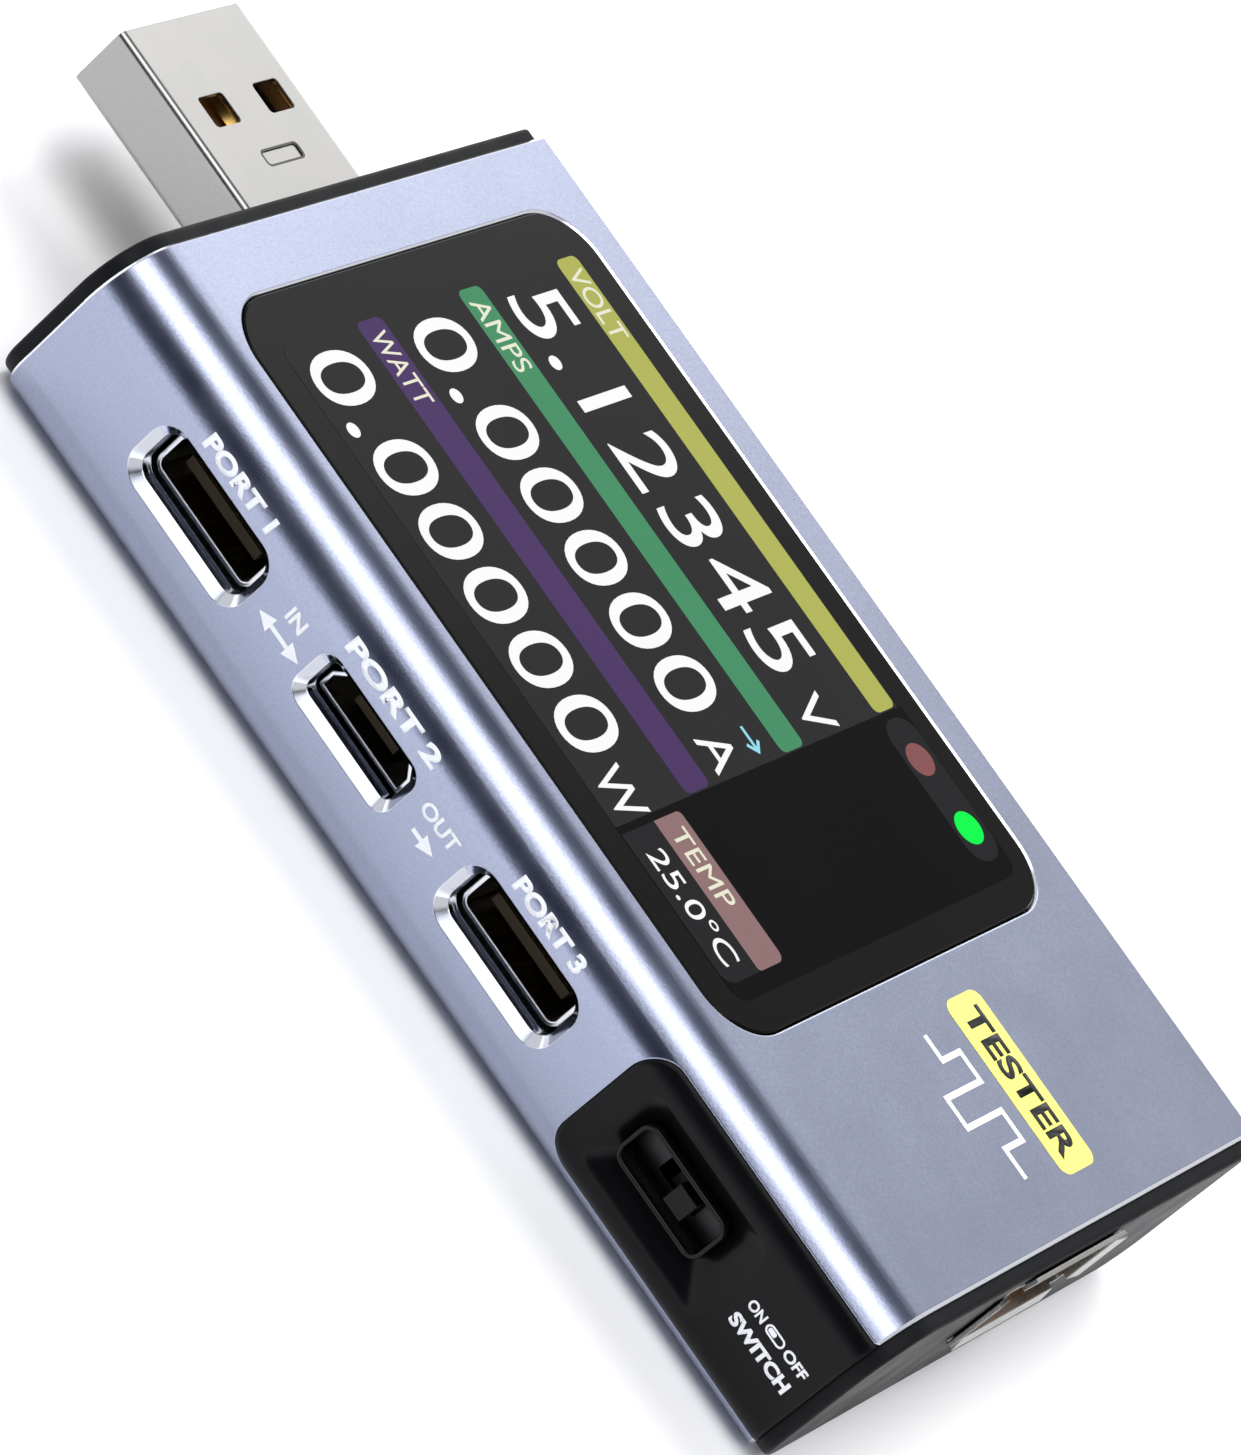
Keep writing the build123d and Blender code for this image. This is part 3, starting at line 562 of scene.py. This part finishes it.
def digits(text, baseline):
    """A row of wide digits with a point after the first."""
    zero = glyphs("0")
    across = DIGIT_WIDTH * MM / max(vert.co.x for vert in zero.verts)
    upward = DIGIT_HEIGHT * MM / max(vert.co.y for vert in zero.verts)
    zero.free()
    parts = []
    for sign, centre in zip(text, DIGIT_CENTRES):
        if sign == ".":
            parts.append(from_outlines([disc(centre, baseline + POINT_RADIUS, POINT_RADIUS)]))
            continue
        part = glyphs(sign)
        wide = max(vert.co.x for vert in part.verts) * across
        size = Matrix.Diagonal((across, upward, 1.0, 1.0))
        bmesh.ops.transform(part, matrix=size, verts=part.verts)
        shift = (centre * MM - wide / 2, baseline * MM, 0.0)
        bmesh.ops.translate(part, verts=part.verts, vec=shift)
        parts.append(part)
    return join(parts)


def screen_row(name, reading, unit, label, colour, baseline, bar, lights):
    """One reading: its coloured bar with a label, its digits and its unit."""
    low, high = bar
    middle, upper = SCREEN_LEVELS[1:]
    outline = rounded_box(ROW_LEFT + 0.05, ROW_RIGHT - 0.1, low, high, BAR_CORNER)
    lay(f"screen_{name}_bar", from_outlines([outline]), on_top(middle), lights[colour])
    width, height = ROW_LABEL_SIZE
    text = fit_text(label, ROW_LABEL_LEFT, (low + high) / 2 - height / 2, width, height)
    lay(f"screen_{name}_label", text, on_top(upper), lights["cream"])
    row = digits(reading, baseline)
    lay(f"screen_{name}_reading", row, on_top(middle), lights["white"])
    left, right = UNIT_SPANS[unit]
    text = fit_text(unit, left, baseline, right - left, UNIT_HEIGHT)
    lay(f"screen_{name}_unit", text, on_top(middle), lights["white"])


def lit_shape(name, outline, level, light):
    """One flat shape on the screen."""
    lay(f"screen_{name}", from_outlines([outline]), on_top(level), light)


def flow_arrow(lights):
    """The small arrow beside the current's bar, which shows its direction."""
    middle = SCREEN_LEVELS[1]
    high, low = FLOW_LEVEL + FLOW_BARB, FLOW_LEVEL - FLOW_BARB
    shaft = stroke([(FLOW_TAIL, FLOW_LEVEL), (FLOW_END, FLOW_LEVEL)], FLOW_LINE)
    barbs = [(FLOW_NECK, high), (FLOW_TIP, FLOW_LEVEL), (FLOW_NECK, low)]
    lit_shape("flow_arrow_shaft", shaft, middle, lights["cyan"])
    lit_shape("flow_arrow_head", stroke(barbs, FLOW_LINE), middle + FLOW_LIFT, lights["cyan"])


def temperature_box(lights):
    """The temperature's bar, field, label and reading."""
    middle, upper = SCREEN_LEVELS[1:]
    bar = rounded_box(INFO_LEFT, INFO_RIGHT, *TEMPERATURE_BAR, (0, 0.3, 0.6, 0.4))
    lit_shape("temperature_bar", bar, middle, lights["brown"])
    field = rounded_box(INFO_LEFT, INFO_RIGHT, *TEMPERATURE_FIELD, (0, 1.0, 0, 0))
    lit_shape("temperature_field", field, middle, lights["panel"])
    text = fit_text("TEMP", *TEMPERATURE_LABEL)
    lay("screen_temperature_label", text, on_top(upper), lights["cream"])
    text = fit_text("25.0°C", *TEMPERATURE_READING)
    lay("screen_temperature_reading", text, on_top(upper), lights["white"])


def make_screen():
    """Everything the display shows, as thin lit shapes on the cover glass."""
    lights = {key: screen_light(f"screen_{key}", colour) for key, colour in SCREEN.items()}
    base, middle, upper = SCREEN_LEVELS
    dark = rounded_box(ROW_RIGHT, DARK_RIGHT, FIELD_LOW, FIELD_HIGH + 0.4, (0, 1.2, 1.2, 0))
    lit_shape("dark_area", dark, base, lights["black"])
    field = rounded_box(ROW_LEFT, ROW_RIGHT, FIELD_LOW, FIELD_HIGH, (1.0, 0, 0, 1.0))
    lit_shape("readings_field", field, base, lights["field"])
    for row in ROWS:
        screen_row(*row, lights)
    flow_arrow(lights)
    temperature_box(lights)
    pill = rounded_box(INFO_LEFT, PILL_RIGHT, PILL_LOW, PILL_HIGH, PILL_CORNER)
    lit_shape("state_pill", pill, middle, lights["panel"])
    lit_shape("state_lamp_off", disc(LAMP_OFF, LAMP_LEVEL, LAMP_RADIUS), upper, lights["red"])
    lit_shape("state_lamp_on", disc(LAMP_ON, LAMP_LEVEL, LAMP_RADIUS), upper, lights["signal"])


# ---------------------------------------------------------------- prints on the shell and the switch panel

# Words and arrows are their left and right ends; a box is its left, right, low, high and corner.
SHELL_SLOT = "anodised_shell"
PANEL_SLOT = "cap_plastic"
THIN_BOLD, HEAVY_BOLD = 0.03, 0.045
PORT_LABELS = ((-25.4, -19.2), (-11.7, -3.4), (4.2, 10.2))
PORT_LABEL_HEIGHT = 1.05
PORT_LABEL_BASE = 9.5
WAY_LABEL_HEIGHT = 1.0
WAY_LABEL_BASE = 7.5
IN_LABEL = (-15.15, -13.8)
OUT_LABEL = (-2.25, 0.8)
ARROW_LEVEL = 6.45
ARROW_SHAFT, ARROW_HEAD = 0.28, 1.1
BOTH_WAYS_ARROW = (-16.35, -12.65)
ONE_WAY_ARROW = (-1.65, 0.25)
ROW_STEP = 0.15 * MM
STATE_LABEL_BASE, STATE_LABEL_HEIGHT = 6.5, 0.72
ON_LABEL = (29.8, 31.1)
OFF_LABEL = (33.05, 34.85)
MODE_LABEL = (29.75, 34.75)
MODE_LABEL_BASE, MODE_LABEL_HEIGHT = 4.95, 0.92
SLIDER_MARK = (31.35, 32.85, 6.52, 7.2)
SLIDER_CORNER, SLIDER_LINE = 0.34, 0.12
SLIDER_KNOB = (31.55, 32.15, 6.7, 7.02, 0.14)
LABEL = (21.0, 32.9, 2.15, 5.83, 0.8)
LABEL_WORD_BOX = (21.9, 3.0, 10.1, 2.0)
WAVE_LEFT, WAVE_LEAD, WAVE_STEP, WAVE_LINE = 22.2, 1.7, 2.0, 0.38
WAVE_LOW, WAVE_MIDDLE, WAVE_HIGH = -3.2, -1.3, 0.7


def side_text(name, text, span, low, height, ink, slot, bold=THIN_BOLD):
    """A printed word on the port side that follows the rounded edge."""
    left, right = span
    flat = fit_text(text, left, low, right - left, height, bold)
    lay(name, slice_rows(flat, ROW_STEP), on_side, ink)


def arrow_outline(span, heads):
    """A flat arrow along +X, with a head at its right end or at both."""
    left, right = span
    level, shaft, head = ARROW_LEVEL, ARROW_SHAFT, ARROW_HEAD
    start = left + head if heads == 2 else left
    neck = right - head
    below = [(start, level - shaft / 2), (neck, level - shaft / 2)]
    tip = [(neck, level - head / 2), (right, level), (neck, level + head / 2)]
    above = [(neck, level + shaft / 2), (start, level + shaft / 2)]
    tail = [(start, level + head / 2), (left, level), (start, level - head / 2)] if heads == 2 else []
    return below + tip + above + tail


def print_sides(ink):
    """The port names, and the words and arrows between them."""
    for number, span in enumerate(PORT_LABELS, start=1):
        name, word = f"print_port_{number}", f"PORT {number}"
        size = (PORT_LABEL_BASE, PORT_LABEL_HEIGHT)
        side_text(name, word, span, *size, ink, SHELL_SLOT, HEAVY_BOLD)
    side_text("print_in", "IN", IN_LABEL, WAY_LABEL_BASE, WAY_LABEL_HEIGHT, ink, SHELL_SLOT)
    side_text("print_out", "OUT", OUT_LABEL, WAY_LABEL_BASE, WAY_LABEL_HEIGHT, ink, SHELL_SLOT)
    both_ways = arrow_outline(BOTH_WAYS_ARROW, heads=2)
    one_way = arrow_outline(ONE_WAY_ARROW, heads=1)
    lay("print_both_ways", from_outlines([both_ways]), on_side, ink)
    lay("print_one_way", from_outlines([one_way]), on_side, ink)


def print_panel(ink):
    """The words and the small slider mark on the switch panel."""
    side_text("print_on", "ON", ON_LABEL, STATE_LABEL_BASE, STATE_LABEL_HEIGHT, ink, PANEL_SLOT)
    side_text("print_off", "OFF", OFF_LABEL, STATE_LABEL_BASE, STATE_LABEL_HEIGHT, ink, PANEL_SLOT)
    size = (MODE_LABEL_BASE, MODE_LABEL_HEIGHT)
    side_text("print_mode", "SWITCH", MODE_LABEL, *size, ink, PANEL_SLOT, HEAVY_BOLD)
    left, right, low, high = SLIDER_MARK
    line = SLIDER_LINE
    outer = rounded_box(left, right, low, high, SLIDER_CORNER)
    inner = rounded_box(left + line, right - line, low + line, high - line, SLIDER_CORNER - line)
    lay("print_slider", ring(outer, inner), on_side, ink)
    knob = from_outlines([rounded_box(*SLIDER_KNOB)])
    lay("print_slider_knob", knob, on_side, ink)


def print_top(ink, dark, yellow):
    """The yellow label with its word, and the square-wave mark beside it."""
    lay("print_label", from_outlines([rounded_box(*LABEL)]), on_top(0.0), yellow)
    word = fit_text("TESTER", *LABEL_WORD_BOX, bold=THIN_BOLD)
    lay("print_label_word", word, on_top(LAYER), dark)
    wave = [(WAVE_LEFT, WAVE_MIDDLE)]
    turn = WAVE_LEFT + WAVE_LEAD
    for level in (WAVE_HIGH, WAVE_LOW, WAVE_HIGH, WAVE_MIDDLE):
        wave += [(turn, wave[-1][1]), (turn, level)]
        turn += WAVE_STEP
    wave.append((turn, WAVE_MIDDLE))
    lay("print_square_wave", from_outlines([stroke(wave, WAVE_LINE)]), on_top(0.0), ink)


def make_prints():
    """Generic words and marks where the object carries printing."""
    matt = {"grain": 0.1 * MM, "relief": 0.002 * MM}
    ink = finish_of("white_ink", linear(232, 234, 238), 0.45, shade=0.04, **matt)
    dark = finish_of("black_ink", linear(22, 22, 24), 0.5, shade=0.1, **matt)
    matt["grain"] = 0.12 * MM
    yellow = finish_of("yellow_ink", linear(250, 246, 118), 0.45, shade=0.05, **matt)
    print_sides(ink)
    print_panel(ink)
    print_top(ink, dark, yellow)


# ---------------------------------------------------------------- small raised parts

# The slot and the catch are their left, right, low and high edges.
SLOT = (19.05, 25.95, 5.1, 7.9)
SLOT_CORNER = 0.6
WELL_DEPTH = 1.2
BEZEL_WIDTH = 0.3
BEZEL_HEIGHT = 1.1
BEZEL_EDGE = 0.15
BEZEL_SINK = 0.1
BEZEL_IOR = 1.3
CROWN_STEPS = 8
CATCH = (-40.55, -39.5, -1.425, 2.225)
CATCH_CORNER = 0.3
CATCH_LINE = 0.07
CATCH_DEPTH = 0.008 * MM


def loop_solid(name, outline_at, profile, place, finish):
    """A closed ring: a profile of (reach, height) points carried round a family of outlines."""
    body = bmesh.new()
    loops = []
    for reach, height in profile:
        points = [place(u * MM, v * MM, height * MM) for u, v in outline_at(reach)]
        loops.append([body.verts.new(point) for point in points])
    for index, loop in enumerate(loops):
        after = loops[(index + 1) % len(loops)]
        for step in range(len(loop)):
            turn = (step + 1) % len(loop)
            body.faces.new((loop[step], loop[turn], after[turn], after[step]))
    bmesh.ops.recalc_face_normals(body, faces=body.faces)
    for face in body.faces:
        face.smooth = True
    housing_piece(name, body, finish)


def in_well(u, v, w):
    """Places a point on the bottom plane of the switch well: u along +X, v up, w outwards."""
    return Vector((u, SIDE + WELL_DEPTH * MM - w, v))


def make_bezel():
    """The glossy raised lip round the slide switch's slot."""
    gloss = finish_of(
        "glossy_black_plastic", linear(9, 9, 10), 0.12, swing=0.02,
        grain=0.1 * MM, relief=0.001 * MM, sockets={"IOR": BEZEL_IOR},
    )
    left, right, low, high = SLOT

    def outline_at(reach):
        corner = SLOT_CORNER + reach
        return rounded_box(left - reach, right + reach, low - reach, high + reach, corner)

    crown = []
    half = BEZEL_WIDTH / 2
    for step in range(CROWN_STEPS + 1):
        turn = math.pi * step / CROWN_STEPS
        height = BEZEL_HEIGHT - BEZEL_EDGE + BEZEL_EDGE * math.sin(turn)
        crown.append((half + half * math.cos(turn), height))
    profile = [(BEZEL_WIDTH, -BEZEL_SINK), *crown, (0.0, -BEZEL_SINK)]
    loop_solid("switch_bezel", outline_at, profile, in_well, gloss)


def make_catch():
    """A dark ring in darker steel round the plug's catch: painted shade for the shadow in the pressed
    outline round the catch.
    """
    # Painted shade: the darker steel stands in for the shadow along the catch's pressed outline.
    catch_shade_paint = metal("painted_catch_shade", linear(84, 82, 78), 0.4, grain=0.1 * MM, relief=0.001 * MM)
    left, right, low, high = CATCH
    outer, inner = (
        rounded_box(left - reach, right + reach, low - reach, high + reach, CATCH_CORNER + reach)
        for reach in (CATCH_LINE, -CATCH_LINE)
    )
    plug_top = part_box("usb_plug_shell")[1].z
    line, place = ring(outer, inner), on_top(plug_top - TOP)
    lay("plug_catch_line", line, place, catch_shade_paint, depth=CATCH_DEPTH)


# ---------------------------------------------------------------- materials for the CAD nodes

BRUSHED_ALONG_X = (0.08, 1.0, 1.0)
BRUSHED_ALONG_Y = (1.0, 0.08, 1.0)


def metal(name, colour, roughness, **options):
    """A bare metal."""
    options.setdefault("sockets", {"Metallic": 1.0})
    return finish_of(name, colour, roughness, **options)


def paint(finish, *nodes):
    """Gives CAD nodes a finish."""
    for node in nodes:
        slots = NODES[node].data.materials
        slots.clear()
        slots.append(finish)


def paint_housing():
    """The metal shell, the glass, the black plastic and what the fingers move."""
    paint(shell_metal(), "body_shell")
    paint(lens_glass(), "cover_lens")
    cap = finish_of(
        "satin_black_plastic", linear(20, 21, 23), 0.46,
        grain=0.12 * MM, relief=0.005 * MM, wear=0.35, soft=0.2 * MM, sockets={"IOR": CAP_IOR},
    )
    paint(cap, "plug_end_cap", "socket_end_cap")
    panel = finish_of(
        "moulded_black_plastic", linear(10, 10, 12), 0.22, swing=0.03,
        grain=0.10 * MM, relief=0.002 * MM, wear=0.2, soft=0.5 * MM, sockets={"IOR": PLASTIC_IOR},
    )
    paint(panel, "switch_panel")
    knob = finish_of(
        "knob_plastic", linear(18, 18, 20), 0.34,
        grain=0.1 * MM, relief=0.003 * MM, wear=0.3, sockets={"IOR": PLASTIC_IOR},
    )
    paint(knob, "slide_switch_knob")
    button = finish_of(
        "button_plastic", linear(40, 41, 45), 0.42,
        grain=0.1 * MM, relief=0.004 * MM, wear=0.3, soft=0.2 * MM,
    )
    paint(button, "left_button_cap", "ok_button_cap", "right_button_cap")
    plunger = finish_of("plunger_plastic", linear(198, 196, 188), 0.5, grain=0.1 * MM)
    paint(plunger, "left_button_plunger", "ok_button_plunger", "right_button_plunger")


def paint_connectors():
    """The connectors' steel, gold and insulators."""
    steel = metal(
        "brushed_plug_steel", linear(158, 157, 155), 0.27, shade=0.03, swing=0.02,
        soft=0.08 * MM, grain=0.12 * MM, relief=0.001 * MM, stretch=BRUSHED_ALONG_X,
    )
    paint(steel, "usb_plug_shell")
    port_steel = metal(
        "bright_port_steel", linear(214, 215, 218), 0.16, shade=0.05,
        soft=0.14 * MM, grain=0.06 * MM, relief=0.001 * MM, stretch=BRUSHED_ALONG_Y,
    )
    paint(port_steel, "type_c_in_shell", "type_c_out_shell", "micro_in_shell", "micro_data_shell")
    socket_steel = metal(
        "socket_steel", linear(160, 160, 158), 0.28, shade=0.04,
        soft=0.1 * MM, grain=0.06 * MM, relief=0.001 * MM, stretch=BRUSHED_ALONG_X,
    )
    paint(socket_steel, "usb_socket_shell")
    gold = metal(
        "gold_plating", linear(232, 190, 108), 0.22, shade=0.08, grain=0.08 * MM, relief=0.001 * MM,
    )
    paint(gold, "usb_plug_contacts", "usb_socket_contacts", "type_c_in_contacts", "type_c_out_contacts")
    black = finish_of(
        "black_insulator", linear(42, 33, 15), 0.38,
        grain=0.08 * MM, soft=0.06 * MM, sockets={"IOR": PLASTIC_IOR},
    )
    paint(black, "type_c_in_insert", "type_c_out_insert", "micro_in_insert", "micro_data_insert")
    paint(black, "slide_switch_base")
    brown = finish_of("amber_insulator", linear(150, 98, 34), 0.4, shade=0.2, grain=0.1 * MM)
    paint(brown, "usb_plug_insert")
    orange = finish_of("orange_insulator", linear(206, 134, 44), 0.42, shade=0.1, grain=0.1 * MM)
    paint(orange, "usb_socket_insert")


def paint_inside():
    """The display's stack, the board and what is soldered on it."""
    glue = finish_of("foam_adhesive", linear(18, 18, 19), 0.75, grain=0.08 * MM, relief=0.01 * MM)
    paint(glue, "lens_adhesive")
    panel_glass = finish_of(
        "display_stack", linear(20, 20, 24), 0.18, grain=0.2 * MM, relief=0.001 * MM,
    )
    paint(panel_glass, "display_panel")
    diffuser = finish_of("backlight_frame", linear(224, 226, 228), 0.4, shade=0.05, grain=0.2 * MM)
    paint(diffuser, "display_backlight")
    film = finish_of("polyimide_film", linear(178, 108, 36), 0.35, shade=0.15, grain=0.4 * MM)
    paint(film, "display_ribbon")
    ivory = finish_of("ivory_plastic", linear(214, 206, 184), 0.45, shade=0.06, grain=0.1 * MM)
    paint(ivory, "ribbon_connector")
    paint(board_mask(), "main_board")
    chip = finish_of(
        "moulding_compound", linear(30, 30, 32), 0.55, grain=0.06 * MM, relief=0.004 * MM,
    )
    paint(chip, "controller_chip", "measuring_chip", "memory_chip", "protocol_chips", "power_transistors")
    tinned = metal("tinned_metal", linear(196, 196, 192), 0.34, grain=0.08 * MM)
    paint(tinned, "button_switches", "shunt_resistors", "clock_crystal")
    dark_case = metal("blackened_steel", linear(58, 58, 60), 0.35, grain=0.08 * MM)
    paint(dark_case, "slide_switch_case")
    ceramic = finish_of("ceramic", linear(176, 140, 98), 0.5, shade=0.15, grain=0.1 * MM)
    paint(ceramic, "ceramic_capacitors")
    ferrite = finish_of(
        "ferrite", linear(62, 62, 66), 0.6, shade=0.15, grain=0.1 * MM, relief=0.01 * MM,
    )
    paint(ferrite, "power_inductor")


# ---------------------------------------------------------------- floor, light and camera

FLOOR_HALF = 4000
FLOOR_LAP = 0.3
FLOOR_LAP_SIDE = 2.7
FLOOR_DROP = 0.01 * MM
OVERHEAD_STRENGTH = 1.3
OVERHEAD_HEIGHT = math.radians(62)
OVERHEAD_SOFTNESS = math.radians(28)
ROOM_LIGHT = (1.7, 1.74, 1.84)
GAP_LIGHT = (0.015, 0.02, 0.045)
SOFTBOX_LIGHT = (3.8, 3.8, 3.8)
TOP_LIGHT = (0.13, 0.14, 0.18)
BACK_LIGHT = (2.35, 2.35, 2.35)
WORLD_SIDES = (0.72, 0.73, 0.76, 1.0)
# Degrees up from the horizon in front, over the top, to the horizon behind.
BACK_START, BACK_FULL = 118, 133
WORLD_STOPS = (
    (0, ROOM_LIGHT),
    (2, ROOM_LIGHT),
    (18, GAP_LIGHT),
    (46, GAP_LIGHT),
    (64, SOFTBOX_LIGHT),
    (75, SOFTBOX_LIGHT),
    (97, TOP_LIGHT),
    (BACK_START, TOP_LIGHT),
    (BACK_FULL, BACK_LIGHT),
    (180, BACK_LIGHT),
)
# How far a direction leans along X where the back light fades, and where the sides take over.
BACK_FADE = (-0.24, -0.12, 1.0, 0.36)
SIDES_FADE = (0.45, 0.75)
SENSOR_WIDTH = 36.0
FOCAL_LENGTH = 202.0
CAMERA_PLACE = Vector((66.14, -379.9, 254.43)) * MM
CAMERA_TARGET = Vector((-2.50, 1.42, 6.4)) * MM
CAMERA_ROLL = math.radians(49.28)


def make_floor():
    """A plain pale floor, see-through from below and open under the shell, so its underside is lit."""
    made, tree, shader = new_material("pale_floor")
    cloud = noise(tree, 0.4, detail=1.0)
    tone = blend_colours(tree, cloud, linear(248, 248, 249), linear(251, 251, 252))
    tree.links.new(tone, shader.inputs["Base Color"])
    shader.inputs["Roughness"].default_value = 0.9
    shader.inputs["Specular IOR Level"].default_value = 0.0
    back = add(tree, "ShaderNodeNewGeometry").outputs["Backfacing"]
    clear = add(tree, "ShaderNodeBsdfTransparent").outputs[0]
    both = add(tree, "ShaderNodeMixShader", {0: back, 1: shader.outputs[0], 2: clear})
    tree.links.new(both.outputs[0], tree.nodes["Material Output"].inputs["Surface"])
    low, high = SHELL_LOW / MM, SHELL_HIGH / MM
    outer = rounded_box(-FLOOR_HALF, FLOOR_HALF, -FLOOR_HALF, FLOOR_HALF, 0)
    near, far = low.y + FLOOR_LAP_SIDE, high.y - FLOOR_LAP_SIDE
    flat = ring(outer, rounded_box(low.x + FLOOR_LAP, high.x - FLOOR_LAP, near, far, 0))
    mesh = bpy.data.meshes.new("floor")
    flat.to_mesh(mesh)
    flat.free()
    mesh.materials.append(made)
    floor = bpy.data.objects.new("floor", mesh)
    bpy.context.scene.collection.objects.link(floor)
    floor.location.z = -FLOOR_DROP


def make_world():
    """A soft studio: a pale room, a long softbox above the front, and dark gaps either side of it."""
    world = bpy.data.worlds.new("studio")
    bpy.context.scene.world = world
    world.use_nodes = True
    tree = world.node_tree
    way = add(tree, "ShaderNodeSeparateXYZ", {0: add(tree, "ShaderNodeTexCoord").outputs["Generated"]})
    ahead = calc(tree, "MULTIPLY", way.outputs[1], -1.0)
    turn = calc(tree, "ARCTAN2", way.outputs[2], ahead)
    share = calc(tree, "DIVIDE", turn, math.pi)
    strip = add(tree, "ShaderNodeValToRGB", {0: share})
    ramp = strip.color_ramp
    ramp.interpolation = "EASE"
    while len(ramp.elements) < len(WORLD_STOPS):
        ramp.elements.new(0.5)
    for element, (degrees, colour) in zip(ramp.elements, WORLD_STOPS):
        element.position = degrees / 180
        element.color = (*colour, 1.0)
    behind = ramp_between(tree, turn, math.radians(BACK_START), math.radians(BACK_FULL))
    fade = ramp_between(tree, way.outputs[0], *BACK_FADE)
    kept = calc(tree, "SUBTRACT", 1.0, behind)
    dim = calc(tree, "ADD", kept, calc(tree, "MULTIPLY", behind, fade))
    banded = blend_colours(tree, 1.0, strip.outputs["Color"], dim, mode="MULTIPLY")
    aside = ramp_between(tree, calc(tree, "ABSOLUTE", way.outputs[0]), *SIDES_FADE)
    tone = blend_colours(tree, aside, banded, WORLD_SIDES)
    tree.links.new(tone, tree.nodes["Background"].inputs["Color"])


def make_sun():
    """Soft overhead light from behind for the floor and matt parts; the world makes the reflections."""
    data = bpy.data.lights.new("overhead", "SUN")
    data.energy = OVERHEAD_STRENGTH
    data.angle = OVERHEAD_SOFTNESS
    lamp = bpy.data.objects.new("overhead", data)
    bpy.context.scene.collection.objects.link(lamp)
    towards = Vector((0.1, -math.cos(OVERHEAD_HEIGHT), -math.sin(OVERHEAD_HEIGHT)))
    lamp.rotation_mode = "QUATERNION"
    lamp.rotation_quaternion = towards.to_track_quat("-Z", "Y")
    lamp.visible_glossy = False


def make_camera():
    """The camera of the picture: long lens, from the port side and above, rolled to the left."""
    data = bpy.data.cameras.new("camera")
    data.sensor_width = SENSOR_WIDTH
    data.lens = FOCAL_LENGTH
    camera = bpy.data.objects.new("camera", data)
    bpy.context.scene.collection.objects.link(camera)
    level = (CAMERA_TARGET - CAMERA_PLACE).to_track_quat("-Z", "Y").to_matrix()
    roll = Matrix.Rotation(CAMERA_ROLL, 3, "Z")
    camera.matrix_world = Matrix.Translation(CAMERA_PLACE) @ (level @ roll).to_4x4()
    data.clip_start = 0.01
    data.clip_end = 20.0
    bpy.context.scene.camera = camera


paint_housing()
paint_connectors()
paint_inside()
make_screen()
make_prints()
make_bezel()
make_catch()
make_floor()
make_world()
make_sun()
make_camera()
bpy.context.scene.view_settings.view_transform = "Standard"
